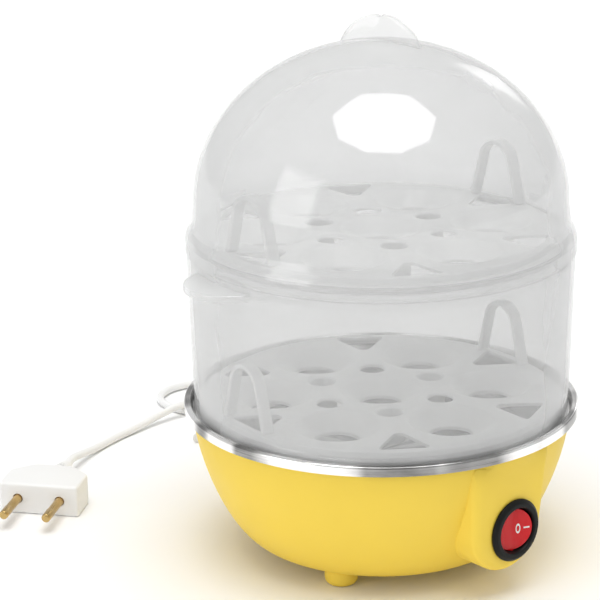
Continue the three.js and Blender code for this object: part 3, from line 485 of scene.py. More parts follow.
# ---------------------------------------------------------------- finishes
def new_material(slot):
    material = bpy.data.materials.new(slot)
    material.use_nodes = True
    return material, material.node_tree, material.node_tree.nodes["Principled BSDF"]


def bumped(tree, shader, height, distance, strength=1.0):
    bump = node(tree, "ShaderNodeBump", {"Strength": strength, "Distance": distance})
    link(tree, height, bump.inputs["Height"])
    link(tree, bump.outputs["Normal"], shader.inputs["Normal"])


def surface(slot, kind, values, bump, uniform):
    """A material whose colour, roughness and grain come from one of the shared groups."""
    material, tree, shader = new_material(slot)
    group = node(tree, "ShaderNodeGroup", node_tree=effect(kind))
    for name, value in values.items():
        group.inputs[name].default_value = value
    link(tree, group.outputs["Color"], shader.inputs["Base Color"])
    link(tree, group.outputs["Roughness"], shader.inputs["Roughness"])
    bumped(tree, shader, group.outputs["Height"], bump)
    for name, value in uniform.items():
        shader.inputs[name].default_value = value
    return material


def plastic(slot, color, roughness, clouds=0.06, rubbing=0.12, grain=900.0, bump=0.00002, **uniform):
    values = {"Color": (*color, 1), "Clouds": clouds, "Roughness": roughness, "Rubbing": rubbing,
              "Grain": grain}
    return surface(slot, "Moulded Surface", values, bump, uniform)


def metal(slot, color, roughness, contrast=0.2, rings=2600.0, bump=0.000004):
    values = {"Color": (*color, 1), "Contrast": contrast, "Roughness": roughness,
              "Ring Density": rings}
    return surface(slot, "Turned Metal", values, bump, {"Metallic": 1.0})


def see_through(slot, color, roughness, facing, grazing, clouds, ior=1.5):
    """Thin plastic that hides more where it is seen along its wall."""
    material, tree, shader = new_material(slot)
    shader.inputs["Base Color"].default_value = (*color, 1)
    shader.inputs["Roughness"].default_value = roughness
    shader.inputs["IOR"].default_value = ior
    weight = node(tree, "ShaderNodeLayerWeight", {"Blend": 0.5})
    power = math_node(tree, "POWER", weight.outputs["Facing"], 2.0)
    slant = node(tree, "ShaderNodeMapRange", {"To Min": facing, "To Max": grazing})
    link(tree, power, slant.inputs["Value"])
    cloudy = node(tree, "ShaderNodeGroup", node_tree=effect("Cloudy Wall"))
    cloudy.inputs["Clouds"].default_value = clouds
    link(tree, slant.outputs["Result"], cloudy.inputs["Density"])
    link(tree, cloudy.outputs["Density"], shader.inputs["Alpha"])
    bumped(tree, shader, cloudy.outputs["Height"], 0.00001)
    return material


def finish(slot):
    """The finish of one of the record's slots, built the first time it is asked for."""
    name = f"{slot}_finish"  # the frame's own materials already carry the slots' names
    made = bpy.data.materials.get(name)
    if made:
        return made
    scene = bpy.context.scene
    tint = scene.cooker_plastic
    makers = {
        "yellow_plastic": lambda: plastic(
            name, scene.cooker_housing.color, scene.cooker_housing.roughness, 0.07, 0.16, 1500.0,
            0.00003, **{"Specular IOR Level": 0.3}),
        # The contrast scales both the turned grain and the painted darker reflections in the steel's
        # colour.
        "brushed_steel": lambda: metal(name, (0.86, 0.85, 0.84), 0.2, 0.65),
        "clear_plastic": lambda: see_through(
            name, tint.clear_color, 0.05, tint.clear_density, 0.62, 0.22, 2.3),
        "milky_plastic": lambda: see_through(
            name, tint.milky_color, 0.35, tint.milky_density, 0.95, 0.06),
        "black_plastic": lambda: plastic(
            name, (0.008, 0.009, 0.0085), 0.4, 0.2, 0.15, 1800.0, **{"Specular IOR Level": 0.15}),
        "red_plastic": lambda: plastic(
            name, (0.6, 0.003, 0.008), 0.12, 0.25, 0.08, 300.0, 0.00001,
            **{"Specular IOR Level": 0.35}),
        "white_plastic": lambda: plastic(name, scene.cooker_lead.color, 0.42, 0.05, 0.12, 1400.0),
        "tie_plastic": lambda: plastic(name, (0.8, 0.8, 0.79), 0.5, 0.08, 0.1, 700.0, 0.00005),
        "heater_aluminium": lambda: metal(name, (0.6, 0.61, 0.62), 0.45, 0.25, 1500.0, 0.00001),
        "inner_steel": lambda: metal(name, (0.52, 0.53, 0.54), 0.36, 0.3, 1800.0),
        "contact_brass": lambda: metal(name, (0.72, 0.5, 0.2), 0.3, 0.25, 1800.0),
        "dark_plastic": lambda: plastic(name, (0.045, 0.035, 0.028), 0.55, 0.3, 0.15, 900.0, 0.00004),
        "fibreglass": lambda: plastic(name, (0.72, 0.7, 0.6), 0.85, 0.25, 0.1, 2600.0, 0.0001),
        "lamp_glass": lambda: see_through(name, (0.9, 0.55, 0.38), 0.08, 0.4, 0.8, 0.2),
        "wire_brown": lambda: plastic(name, (0.25, 0.07, 0.023), 0.45, 0.12, 0.1, 1500.0),
        "wire_blue": lambda: plastic(name, (0.03, 0.11, 0.38), 0.45, 0.12, 0.1, 1500.0),
    }
    return makers[slot]()


# ---------------------------------------------------------------- stage
def softbox(tree, ray, centre, half_width, half_height, blur, eight_sided=False):
    """A mask, over all directions, of a flat soft box that is seen along a direction."""
    facing = Vector(centre).normalized()
    side = facing.cross(Vector((0, 1, 0)) if abs(facing.z) > 0.7 else Vector((0, 0, 1))).normalized()
    up = side.cross(facing)
    parts = []
    for axis in (facing, side, up):
        dot = node(tree, "ShaderNodeVectorMath", operation="DOT_PRODUCT")
        link(tree, ray, dot.inputs[0])
        dot.inputs[1].default_value = axis
        parts.append(dot.outputs["Value"])
    depth = math_node(tree, "MAXIMUM", parts[0], 0.001)
    across = math_node(tree, "ABSOLUTE", math_node(tree, "DIVIDE", parts[1], depth), 0)
    along = math_node(tree, "ABSOLUTE", math_node(tree, "DIVIDE", parts[2], depth), 0)
    across = math_node(tree, "DIVIDE", across, half_width)
    along = math_node(tree, "DIVIDE", along, half_height)
    reach = math_node(tree, "MAXIMUM", across, along)
    if eight_sided:
        slanted = math_node(tree, "MULTIPLY", math_node(tree, "ADD", across, along), 0.7071)
        reach = math_node(tree, "MAXIMUM", reach, slanted)
    mask = node(tree, "ShaderNodeMapRange", {"From Min": 1 - blur, "From Max": 1 + blur,
                                             "To Min": 1.0, "To Max": 0.0},
                interpolation_type="SMOOTHSTEP")
    link(tree, reach, mask.inputs["Value"])
    ahead = math_node(tree, "GREATER_THAN", parts[0], 0.0)
    return math_node(tree, "MULTIPLY", mask.outputs["Result"], ahead)


def light_the_stage(settings):
    """Even white light with three soft boxes: overhead, at the left and small behind."""
    world = bpy.data.worlds.new("studio")
    bpy.context.scene.world = world
    world.use_nodes = True
    tree = world.node_tree
    background = tree.nodes["Background"]
    ray = node(tree, "ShaderNodeTexCoord").outputs["Generated"]
    boxes = [
        (softbox(tree, ray, (0.03, -0.12, 0.99), 0.42, 0.42, 0.04, True), settings.overhead),
        (softbox(tree, ray, (-0.82, -0.55, 0.16), 0.24, 0.46, 0.25), settings.side),
        (softbox(tree, ray, (0.36, 0.86, 0.3), 0.1, 0.14, 0.2), settings.side),
    ]
    total = settings.fill
    for mask, strength in boxes:
        total = math_node(tree, "ADD", math_node(tree, "MULTIPLY", mask, strength), total)
    link(tree, total, background.inputs["Strength"])
    background.inputs["Color"].default_value = (1, 1, 1, 1)


class COOKER_OT_stage(bpy.types.Operator):
    """Camera, floor and soft studio light"""
    bl_idname = "cooker.stage"
    bl_label = "Stage"

    def execute(self, context):
        settings = context.scene.cooker_stage
        data = bpy.data.cameras.new("camera")
        data.lens = settings.lens
        data.sensor_width = 36
        data.clip_start = 0.01
        camera = bpy.data.objects.new("camera", data)
        place = Vector((0, -0.8465, 0.3735))
        target = Vector((0, 0, 0.062))
        look = (target - place).to_track_quat("-Z", "Y")
        tip = Quaternion((1, 0, 0), math.radians(2.55))
        pan = Quaternion((0, 1, 0), math.radians(2.09))
        camera.matrix_world = Matrix.Translation(place) @ (look @ tip @ pan).to_matrix().to_4x4()
        context.scene.collection.objects.link(camera)
        context.scene.camera = camera
        reach, depth = 4000, 8
        floor = turned("floor", [(0, -depth), (reach, -depth), (reach, 0), (0, 0)])
        moved(floor, Matrix.Scale(MM, 4))
        material, tree, shader = new_material("floor")
        clouds = node(tree, "ShaderNodeTexNoise", {"Scale": 3.0, "Detail": 3.0})
        color = settings.floor_color
        paint = node(tree, "ShaderNodeMix", data_type="RGBA")
        paint.inputs["A"].default_value = (*color, 1)
        paint.inputs["B"].default_value = (color[0] * 0.985, color[1] * 0.985, color[2] * 0.985, 1)
        link(tree, clouds.outputs["Fac"], paint.inputs["Factor"])
        link(tree, paint.outputs["Result"], shader.inputs["Base Color"])
        shader.inputs["Roughness"].default_value = 0.7
        shader.inputs["Specular IOR Level"].default_value = 0.2
        floor.data.materials.append(material)
        light_the_stage(settings)
        scene = context.scene
        scene.view_settings.view_transform = "Standard"
        scene.cycles.transparent_max_bounces = 32
        scene.cycles.max_bounces = 10
        return {"FINISHED"}


# ---------------------------------------------------------------- mains lead
LEAD_LOW = 1.95  # of the lead's middle where it lies on the table
LEAD_ENTRY = [(0, 93.3, 22), (0, 95.5, 21.7), (-1.2, 100, 20.6), (-4.6, 104.6, 18.2),
              (-10, 108.9, 14.4), (-16.4, 110.9, 10.1), (-22.6, 111.3, 6.6), (-28.6, 111.2, 4.3),
              (-36.5, 110.4, 2.8)]
LEAD_LOOP = [(-64.6, 119.4, 6.2), (-67.6, 122.5, 5.3), (-70.4, 125.8, 3.6), (-80.2, 134.6, 2.1),
             (-91, 143.6, LEAD_LOW), (-100.8, 151, LEAD_LOW), (-106.8, 160.2, LEAD_LOW),
             (-106.5, 170.6, LEAD_LOW), (-100.6, 179.2, LEAD_LOW), (-91, 184.2, LEAD_LOW),
             (-79.8, 184.4, LEAD_LOW), (-70, 179.4, LEAD_LOW), (-65.2, 170.2, 2.2),
             (-67.6, 160.2, 3), (-75.4, 152.8, 4.4), (-85, 148.4, 5.5), (-95.6, 142.9, 5.6),
             (-104.6, 134.6, 4), (-113.8, 123.4, 2.4), (-122.8, 110.6, LEAD_LOW),
             (-130.4, 96.6, 2.2), (-136, 81.4, 4.6), (-138.3, 71.8, 6.5), (-139.5, 63.4, 6.85)]
COIL_START = -90
COIL_TURNS = 3.106
COIL_STEPS = 14  # points in each turn
# turns done, radius and height of the coil's lanes: two side by side below and two above them
COIL_LANES = [(0, 21.6, 2.7), (0.75, 21.6, 2.7), (0.9, 18, 2.7), (1.667, 18, 2.7),
              (1.833, 18, 6.3), (2.5, 18, 6.3), (2.667, 21.6, 6.3), (COIL_TURNS, 21.6, 6.3)]


def lane(turns):
    """Radius and height of the coil after a number of turns."""
    for (start, r0, z0), (end, r1, z1) in zip(COIL_LANES, COIL_LANES[1:]):
        if turns <= end + 1e-9:
            t = (turns - start) / (end - start)
            t = t * t * (3 - 2 * t)
            return r0 + (r1 - r0) * t, z0 + (z1 - z0) * t
    return COIL_LANES[-1][1:]


def coil_points():
    """The coil's turns, which run clockwise."""
    count = round(COIL_TURNS * COIL_STEPS)
    points = []
    for k in range(count + 1):
        turns = COIL_TURNS * k / count
        radius, height = lane(turns)
        angle = math.radians(COIL_START - 360 * turns)
        points.append(COIL_CENTRE + Vector((radius * math.cos(angle), radius * math.sin(angle),
                                            height)))
    return points


def curve_length(curve):
    """Length of a curve object's single spline, in metres."""
    copy = curve.data.copy()
    copy.bevel_depth = 0
    bare = bpy.data.objects.new("bare", copy)
    bpy.context.scene.collection.objects.link(bare)
    graph = bpy.context.evaluated_depsgraph_get()
    line = bare.evaluated_get(graph).to_mesh()
    points = [v.co.copy() for v in line.vertices]
    bpy.data.objects.remove(bare)
    return sum((b - a).length for a, b in zip(points, points[1:]))


class COOKER_OT_lead(bpy.types.Operator):
    """Mains lead with its coil"""
    bl_idname = "cooker.lead"
    bl_label = "Mains Lead"

    def execute(self, context):
        settings = context.scene.cooker_lead
        points = [Vector(p) for p in LEAD_ENTRY] + coil_points() + [Vector(p) for p in LEAD_LOOP]
        data = bpy.data.curves.new("mains_lead", "CURVE")
        data.dimensions = "3D"
        data.resolution_u = 6
        data.bevel_depth = settings.diameter / 2
        data.bevel_resolution = 5
        data.use_fill_caps = True
        spline = data.splines.new("BEZIER")
        spline.bezier_points.add(len(points) - 1)
        for bezier, point in zip(spline.bezier_points, points):
            bezier.co = point * MM
            bezier.handle_left_type = bezier.handle_right_type = "AUTO"
        lead = bpy.data.objects.new("mains_lead", data)
        context.scene.collection.objects.link(lead)
        settled(lead, "base", "white_plastic", ["cord_to_coil", "cord_coil", "cord_to_plug"])
        return {"FINISHED"}


def declare_lead():
    """Works out the lead's length once the lead is there; the value is not kept or shown."""
    lead = bpy.data.objects["mains_lead"]
    round(curve_length(lead), 4)


class COOKER_OT_strain_relief(bpy.types.Operator):
    """Tapered sleeve where the lead leaves the housing"""
    bl_idname = "cooker.strain_relief"
    bl_label = "Strain Relief"

    def execute(self, context):
        neck, flange = 4, 5.8
        inner = BUSH_SEAT - 3.5
        outer = BUSH_SEAT + 0.3
        collar = outer + 2.6
        tip = CORD_RADIUS + 0.8
        bore = CORD_RADIUS + 0.12
        outline = rounded([(bore, inner - 2.6), (flange, inner - 2.6, 0.4), (flange, inner, 0.3),
                           (neck, inner), (neck, outer), (flange, outer, 0.3),
                           (flange, collar, 0.9), (tip + 0.9, collar + 1.2, 1.5),
                           (tip, BUSH_END, 0.5), (bore, BUSH_END)])
        sleeve = turned("strain_relief", outline, SMALL_SIDES)
        tools = []
        for k in range(5):
            at = collar + (0.2 + 0.16 * k) * (BUSH_END - collar)
            turn = 0 if k % 2 else 90
            for side in (-1, 1):
                slot = raised("slot", box_outline(0.62, -6, 6, 0.3), 2.2, 7)
                slot = moved(slot, Matrix.Rotation(math.radians(90 * side), 4, "Y"))
                slot = moved(slot, shift(0, 0, at))
                tools.append(moved(slot, spin(turn)))
        cut(sleeve, tools)
        moved(sleeve, shift(0, 0, BUSH_HEIGHT) @ INWARD)
        settled(sleeve, "base", "white_plastic", ["cord_bush"])
        return {"FINISHED"}


class COOKER_OT_strap(bpy.types.Operator):
    """Soft strap that holds the coil together"""
    bl_idname = "cooker.strap"
    bl_label = "Strap"

    def execute(self, context):
        near, far, low, high, wall = 15.8, 26.0, 0.75, 8.5, 0.6
        width = 5
        outer = rounded([(near - wall, low - wall, 1.6), (far + wall, low - wall, 1.6),
                         (far + wall, high + wall, 2.4), (near - wall, high + wall, 1.6)])
        inner = rounded([(near, low, 1.1), (far, low, 1.1), (far, high, 1.9), (near, high, 1.1)])
        strap = upright("lead_strap", outer, -width / 2, width / 2)
        cut(strap, [upright("hole", inner, -width, width)])
        tail = rounded([(far + 0.2, 0.3, 0.3), (48, 0.3, 2.2), (48, 4.9, 2.2), (far + 0.2, 4.9, 0.3)])
        ribs = []
        for k in range(12):
            x = far + 4 + 1.4 * k
            ribs.append(upright("rib", box_outline(0.32, 1.0, 4.2, 0.1), 2.35, 2.62))
            moved(ribs[-1], shift(x, 0, 0))
        head = upright("head", rounded([(far - 0.4, 0.5, 0.6), (far + 3.4, 0.5, 0.6),
                                        (far + 3.4, 5.6, 0.6), (far - 0.4, 5.6, 0.6)]),
                       width / 2 - 2.4, width / 2 + 0.3)
        joined(strap, [upright("tail", tail, width / 2 - 1, width / 2 - 0.1), head] + ribs)
        softened(strap, 0.15)
        moved(strap, Matrix.Translation(COIL_CENTRE) @ spin(STRAP_ANGLE))
        settled(strap, "base", "tie_plastic", ["cord_tie"])
        return {"FINISHED"}


class COOKER_OT_plug(bpy.types.Operator):
    """Flat two-pin plug at the end of the lead"""
    bl_idname = "cooker.plug"
    bl_label = "Plug"

    def execute(self, context):
        sleeve_end, face, half = 16, -40, 17.65
        axis = PLUG_THICKNESS / 2
        place = Matrix.Translation(PLUG_PLACE) @ spin(PLUG_TURN)
        outline = rounded([(half, face, 1.6), (half, -sleeve_end - 8, 5), (8.4, -sleeve_end, 5),
                           (-8.4, -sleeve_end, 5), (-half, -sleeve_end - 8, 5),
                           (-half, face, 1.6)], True, 8)
        shell = raised("plug_shell", outline, 0, PLUG_THICKNESS)
        softened(shell, 2.6, 50, 5)
        sleeve = turned("sleeve", rounded([(0, 0), (CORD_RADIUS + 0.8, 0, 0.4),
                                           (CORD_RADIUS + 1.2, -2, 1), (5.2, -sleeve_end + 1, 2),
                                           (5.6, -sleeve_end - 2), (0, -sleeve_end - 2)], False),
                        SMALL_SIDES)
        moved(sleeve, shift(0, 0, axis) @ INWARD)
        joined(shell, [sleeve])
        tools = []
        for k in range(4):
            rib = raised("rib", box_outline(0.45, -8, 8, 0.2), 3.4, 8)
            rib_place = shift(0, -4 - 2.8 * k, axis) @ spin(90)
            for turn in (0, 180):
                one = rib.copy()
                one.data = rib.data.copy()
                bpy.context.scene.collection.objects.link(one)
                tools.append(moved(one, rib_place @ Matrix.Rotation(math.radians(turn), 4, "X")))
            bpy.data.objects.remove(rib)
        for side in (-1, 1):
            groove = upright("groove", box_outline(1.5, -30, 30, 0.5), -36, -26)
            tools.append(moved(groove, shift(side * 19.028, 0, axis)))
            hole = turned("hole", [(0, face - 1), (2.2, face - 1), (2.2, face + 7), (0, face + 7)],
                          SMALL_SIDES)
            tools.append(moved(hole, shift(side * PIN_SPACING / 2, 0, axis) @ INWARD))
        cut(shell, tools)
        moved(shell, place)
        settled(shell, "base", "white_plastic", ["plug_body"])
        for side, word, node_name in ((-1, "near", "plug_pin_left"), (1, "far", "plug_pin_right")):
            outline = rounded([(0, -19), (1.9, -19, 1.2), (2.0, -12), (1.84, -11.6, 0.2),
                               (1.84, 0.2, 0.1), (2.0, 0.6), (2.0, 6.5), (0, 6.5)], False)
            pin = turned(f"plug_pin_{word}", outline, SMALL_SIDES)
            moved(pin, place @ shift(side * PIN_SPACING / 2, face, axis) @ INWARD)
            settled(pin, "base", "contact_brass", [node_name])
        return {"FINISHED"}


# ---------------------------------------------------------------- housing and dish
def bowl_curve(inset, steps=26):
    """Outline of the housing's bowl, or of its inside when the inset is the wall."""
    points = []
    for k in range(steps + 1):
        angle = math.pi / 2 * k / steps
        across = (HOUSING_RADIUS - HOUSING_FLAT_RADIUS) * max(math.cos(angle), 0) ** BOWL_POWER
        down = (HOUSING_TOP - HOUSING_FLOOR - inset) * math.sin(angle) ** BOWL_POWER
        points.append((HOUSING_FLAT_RADIUS - inset + across, HOUSING_TOP - down))
    return points


BOSS_BACK = 20.5  # half widths of the boss, towards the back and the front of the cooker
BOSS_FRONT = 21.5
BOSS_ROUND = 18.5  # radius of its round lower end


def boss_outline(inset):
    """The face of the switch's boss, or the pocket behind it when the inset is the wall."""
    top = HOUSING_TOP - 0.6 - inset
    lower = arc(-2.5, BOSS_HEIGHT + 2, BOSS_ROUND - inset, 180, 356, 30)
    side = [(BOSS_BACK - inset, top), (-BOSS_FRONT + inset, top)]
    return side + lower


class COOKER_OT_housing(bpy.types.Operator):
    """Bowl-shaped housing with its three feet and the boss for the switch"""
    bl_idname = "cooker.housing"
    bl_label = "Housing"

    def execute(self, context):
        edge = context.scene.cooker_housing.edge / MM
        outer = bowl_curve(0)[::-1]
        mouth = [(HOUSING_RADIUS - 0.2, HOUSING_TOP), (0, HOUSING_TOP)]
        shell = turned("housing_shell", [(0, HOUSING_FLOOR)] + outer + mouth)
        boss = softened(upright("boss", boss_outline(0), -BOSS_FACE, -50), 3.2, 60, 6)
        envelope = turned("envelope", [(0, 0), (RIM_RADIUS, 0), (RIM_RADIUS, BOSS_HEIGHT + 8.25),
                                       (HOUSING_RADIUS, HOUSING_TOP - 0.3), (0, HOUSING_TOP - 0.3)])
        combined(moved(boss, spin(BOSS_AZIMUTH)), [envelope], "INTERSECT")
        pad = turned("pad", [(0, BUSH_SEAT - 12), (8.5, BUSH_SEAT - 12), (8.5, BUSH_SEAT),
                             (0, BUSH_SEAT)], 64)
        parts = [boss, moved(pad, shift(0, 0, BUSH_HEIGHT) @ INWARD)]
        foot = rounded([(0, 0), (6.7, 0, 3.2), (6.7, 8.6), (0, 8.6)], False, 6)
        for azimuth in around(3, FOOT_AZIMUTH):
            parts.append(moved(turned("foot", foot, 48), spin(azimuth) @ shift(0, -FOOT_CIRCLE, 0)))
        joined(shell, parts)
        softened(shell, edge, 30, 3)
        inner = bowl_curve(HOUSING_WALL)[::-1]
        above = HOUSING_TOP + 1
        hollow = turned("hollow", [(0, HOUSING_FLOOR + HOUSING_WALL)] + inner
                        + [(74.5, above), (0, above)])
        pocket = upright("pocket", boss_outline(HOUSING_WALL), -BOSS_FACE + HOUSING_WALL,
                         4 - HOUSING_FLAT_RADIUS)
        cut(shell, [hollow, moved(pocket, spin(BOSS_AZIMUTH))])
        posts = []
        for azimuth in around(3, POST_AZIMUTH):
            post = turned("post", [(0, 8.2), (5, 8.2), (5, 24.6), (0, 24.6)], SMALL_SIDES)
            posts.append(moved(post, spin(azimuth) @ shift(0, -POST_CIRCLE, 0)))
        joined(shell, posts)
        tools = []
        for azimuth in around(3, POST_AZIMUTH):
            bore = turned("bore", [(0, -1), (3.6, -1), (3.6, 12.25), (1.8, 12.25), (1.8, 30),
                                   (0, 30)], SMALL_SIDES)
            tools.append(moved(bore, spin(azimuth) @ shift(0, -POST_CIRCLE, 0)))
        hole = turned("hole", [(0, -8), (10.1, -8), (10.1, 12), (0, 12)], 64)
        tools.append(moved(hole, spin(BOSS_AZIMUTH) @ shift(0, -BOSS_FACE, BOSS_HEIGHT) @ OUTWARD))
        bush = turned("hole", [(0, 50), (6.5, 50), (6.5, BUSH_SEAT - 3.2), (4.3, BUSH_SEAT - 3.2),
                               (4.3, BUSH_SEAT + 1), (0, BUSH_SEAT + 1)], 48)
        tools.append(moved(bush, shift(0, 0, BUSH_HEIGHT) @ INWARD))
        cut(shell, tools)
        settled(shell, "base", "yellow_plastic", ["base_housing"], 30)
        return {"FINISHED"}


class COOKER_OT_dish(bpy.types.Operator):
    """Steel dish with a rolled rim"""
    bl_idname = "cooker.dish"
    bl_label = "Dish"

    def execute(self, context):
        sheet = 0.6
        floor = LEDGE - 19.6
        pit = floor - 1.5
        hem = RIM_TOP - 3.9
        band = RIM_RADIUS - 2.6
        ledge = HOUSING_RADIUS - 0.15
        well = TRAY_RADIUS - 2
        wall = well - 5.5
        top = [(0, pit), (45.5, pit, 0.8), (47, floor, 0.8), (wall - 1, floor, 2.4),
               (wall + 0.6, floor + 2, 2), (well - 0.5, LEDGE - 1, 1), (well, LEDGE, 0.8),
               (ledge, LEDGE, 0.3), (band, RIM_TOP, 0.9), (RIM_RADIUS, RIM_TOP, 1.0),
               (RIM_RADIUS, hem, 0.15)]
        under = [(RIM_RADIUS - sheet, hem, 0.15), (RIM_RADIUS - sheet, RIM_TOP - sheet, 0.5),
                 (band + 0.5, RIM_TOP - sheet, 0.6), (ledge + 0.35, LEDGE - sheet, 0.4),
                 (well + 0.4, LEDGE - sheet, 0.5), (well + 0.1, LEDGE - 1.1, 0.6),
                 (wall + 1.2, floor + 1.6, 1.6), (wall - 0.6, floor - sheet, 1.8),
                 (47.3, floor - sheet, 0.6), (45.8, pit - sheet, 0.6), (0, pit - sheet)]
        dish = turned("steel_dish", rounded(top + under, False, 5), 192)
        settled(dish, "base", "brushed_steel", ["heating_dish"], 40)
        return {"FINISHED"}


# ---------------------------------------------------------------- clear pieces
class COOKER_OT_drum(bpy.types.Operator):
    """Drum wall that carries the upper tray, with a lug at each side"""
    bl_idname = "cooker.drum"
    bl_label = "Drum"

    def execute(self, context):
        wall = 1.5
        spigot = DRUM_TOP_RADIUS - 1.2
        seat = TRAY_RADIUS + 0.3
        ledge = SHOULDER + 1.8
        outline = rounded([
            (DRUM_RADIUS - wall, DRUM_BOTTOM, 0.5), (DRUM_RADIUS, DRUM_BOTTOM, 0.5),
            (DRUM_TOP_RADIUS, SHOULDER, 0.4), (spigot, SHOULDER, 0.2), (spigot, DRUM_TOP, 0.4),
            (seat + 0.1, DRUM_TOP, 0.4), (seat, ledge, 0.3), (seat - 2.2, ledge, 0.4),
            (seat - 2.2, ledge - 1.4, 0.4), (DRUM_TOP_RADIUS - wall - 0.1, SHOULDER - 4, 1.5)])
        drum = turned("drum_wall", outline)
        lug_top = SHOULDER - 2.3
        lugs = []
        for azimuth in (-53, 127):
            edge = rounded([(0, lug_top - 3), (18.5, lug_top - 3, 0.8), (18.5, lug_top, 0.8),
                            (0, lug_top)], False)
            lug = turned("lug", edge, 96)
            moved(lug, spin(azimuth) @ shift(0, -(DRUM_TOP_RADIUS + 12.5 - 18.5), 0))
            core = turned("core", [(0, 60), (DRUM_TOP_RADIUS - 0.85, 60),
                                   (DRUM_TOP_RADIUS - 0.85, 140), (0, 140)])
            lugs.append(cut(lug, [core]))
        joined(drum, lugs)
        settled(drum, "drum", "clear_plastic", ["steam_drum"], 40)
        return {"FINISHED"}


class COOKER_OT_lid(bpy.types.Operator):
    """Domed lid with a round tab on top"""
    bl_idname = "cooker.lid"
    bl_label = "Lid"

    def execute(self, context):
        wall = 1.3
        radius = LID_RADIUS - 3.45
        base = LID_BOTTOM + 18.65
        apex = LID_BOTTOM + 82
        tab_height = 10.3

        def dome(inset, steps=40):
            angles = [math.pi / 2 * k / steps for k in range(steps + 1)]
            return [((radius - inset) * max(math.cos(a), 0) if a < math.pi / 2 - 1e-6 else 0,
                     base + (apex - inset - base) * math.sin(a)) for a in angles]

        skirt = LID_BOTTOM + 5
        shoulder = LID_BOTTOM + 12
        outer = rounded([(LID_RADIUS, LID_BOTTOM, 0.3), (LID_RADIUS, skirt, 0.8),
                         (LID_RADIUS - 0.7, skirt + 2, 1.4), (radius + 1.3, skirt + 4.6, 1.2),
                         (radius + 0.7, shoulder, 3), dome(0)[0]], False)
        outer[0] = (LID_RADIUS, LID_BOTTOM)
        inner = rounded([dome(wall)[0], (radius + 0.7 - wall, shoulder, 3),
                         (radius + 1.2 - wall, skirt + 4.2, 1), (LID_RADIUS - 0.9 - wall, skirt + 1.4, 1),
                         (LID_RADIUS - wall, skirt - 0.6, 0.6), (LID_RADIUS - wall, LID_BOTTOM)], False)
        solid = turned("lid_dome", [(0, LID_BOTTOM)] + outer[:-1] + dome(0))
        rise = tab_height + 2
        tab_radius = (17.5 ** 2 + rise ** 2) / (2 * rise)
        middle = apex + tab_height - tab_radius
        tab = upright("tab", arc(0, middle, tab_radius, -5, 185, 60), -1.2, 1.2)
        notch = turned("notch", [(0, -4), (0.9, -4), (0.9, 4), (0, 4)], 24)
        cut(tab, [moved(notch, shift(0, 0, apex + tab_height) @ OUTWARD)])
        softened(tab, 0.5, 50, 3)
        joined(solid, [moved(tab, spin(-27))])
        hollow = turned("hollow", [(0, LID_BOTTOM - 1), (LID_RADIUS - wall, LID_BOTTOM - 1)]
                        + inner[::-1][:-1] + dome(wall))
        cut(solid, [hollow])
        settled(solid, "lid", "clear_plastic", ["dome_lid"], 40)
        return {"FINISHED"}


# ---------------------------------------------------------------- egg trays
def egg_tray(word, deck):
    """A tray with seven cups, six round holes and six vents. Its deck's top is at z = 0."""
    thick = 1.3
    lip = TRAY_RADIUS - 1.2
    outline = rounded([(0, 0), (DECK_RADIUS - 0.3, 0, 0.8), (DECK_RADIUS + 0.4, -2.4, 0.4),
                       (TRAY_RADIUS, -2.4, 0.5), (TRAY_RADIUS, -5.1, 0.4), (lip, -5.1, 0.4),
                       (lip, -2.4 - thick, 0.4), (DECK_RADIUS - 0.9, -2.4 - thick, 0.5),
                       (DECK_RADIUS - 1.3, -thick, 0.4), (0, -thick)], False)
    tray = turned(f"{word}_egg_tray", outline)
    circle = DECK_RADIUS - 9.2 - 16
    cups = [(0, 0)] + [(circle, turn) for turn in around(6, 30)]
    cup_outline = rounded([(0, -0.7), (16.9, -0.7, 0.2), (9.9, -7.2, 0.5), (0, -7.2)], False)
    hollow_outline = rounded([(0, 3), (18.3, 3), (17.4, 0.3, 0.5), (16.3, -0.4, 0.9),
                              (8.95, -5.9, 0.9), (8.75, -9), (0, -9)], False)
    hole_outline = rounded([(0, 3), (7.2, 3), (6.2, 0.25, 0.4), (5.25, -0.6, 0.8), (5.25, -11),
                            (0, -11)], False)
    leg_outline = rounded([(0, -0.7), (6.25, -0.7), (6.25, -12, 0.9), (0, -12)], False)
    holes = [(circle / math.sqrt(3), turn) for turn in around(6)]

    def there(piece, radius, turn):
        return moved(piece, spin(turn) @ shift(0, -radius, 0))

    add = [there(turned("cup", cup_outline, CUP_SIDES), *cup) for cup in cups]
    add += [there(turned("leg", leg_outline, SMALL_SIDES), *hole) for hole in holes[::2]]
    joined(tray, add)
    take = [there(turned("hollow", hollow_outline, CUP_SIDES), *cup) for cup in cups]
    take += [there(turned("hole", hole_outline, SMALL_SIDES), *hole) for hole in holes]
    outer = DECK_RADIUS - 3.7
    vent = rounded([(-10.9, -outer, 2), (10.9, -outer, 2), (1.8, -outer + 16.5, 2),
                    (-1.8, -outer + 16.5, 2)])
    take += [moved(raised("vent", vent, -9, 3), spin(turn)) for turn in around(6)]
    cut(tray, take)
    softened(tray, 0.22, 45, 2)
    moved(tray, shift(0, 0, deck) @ spin(TRAY_TURNS[word]))
    settled(tray, f"{word}_tray", "milky_plastic", [f"{word}_tray"], 35)


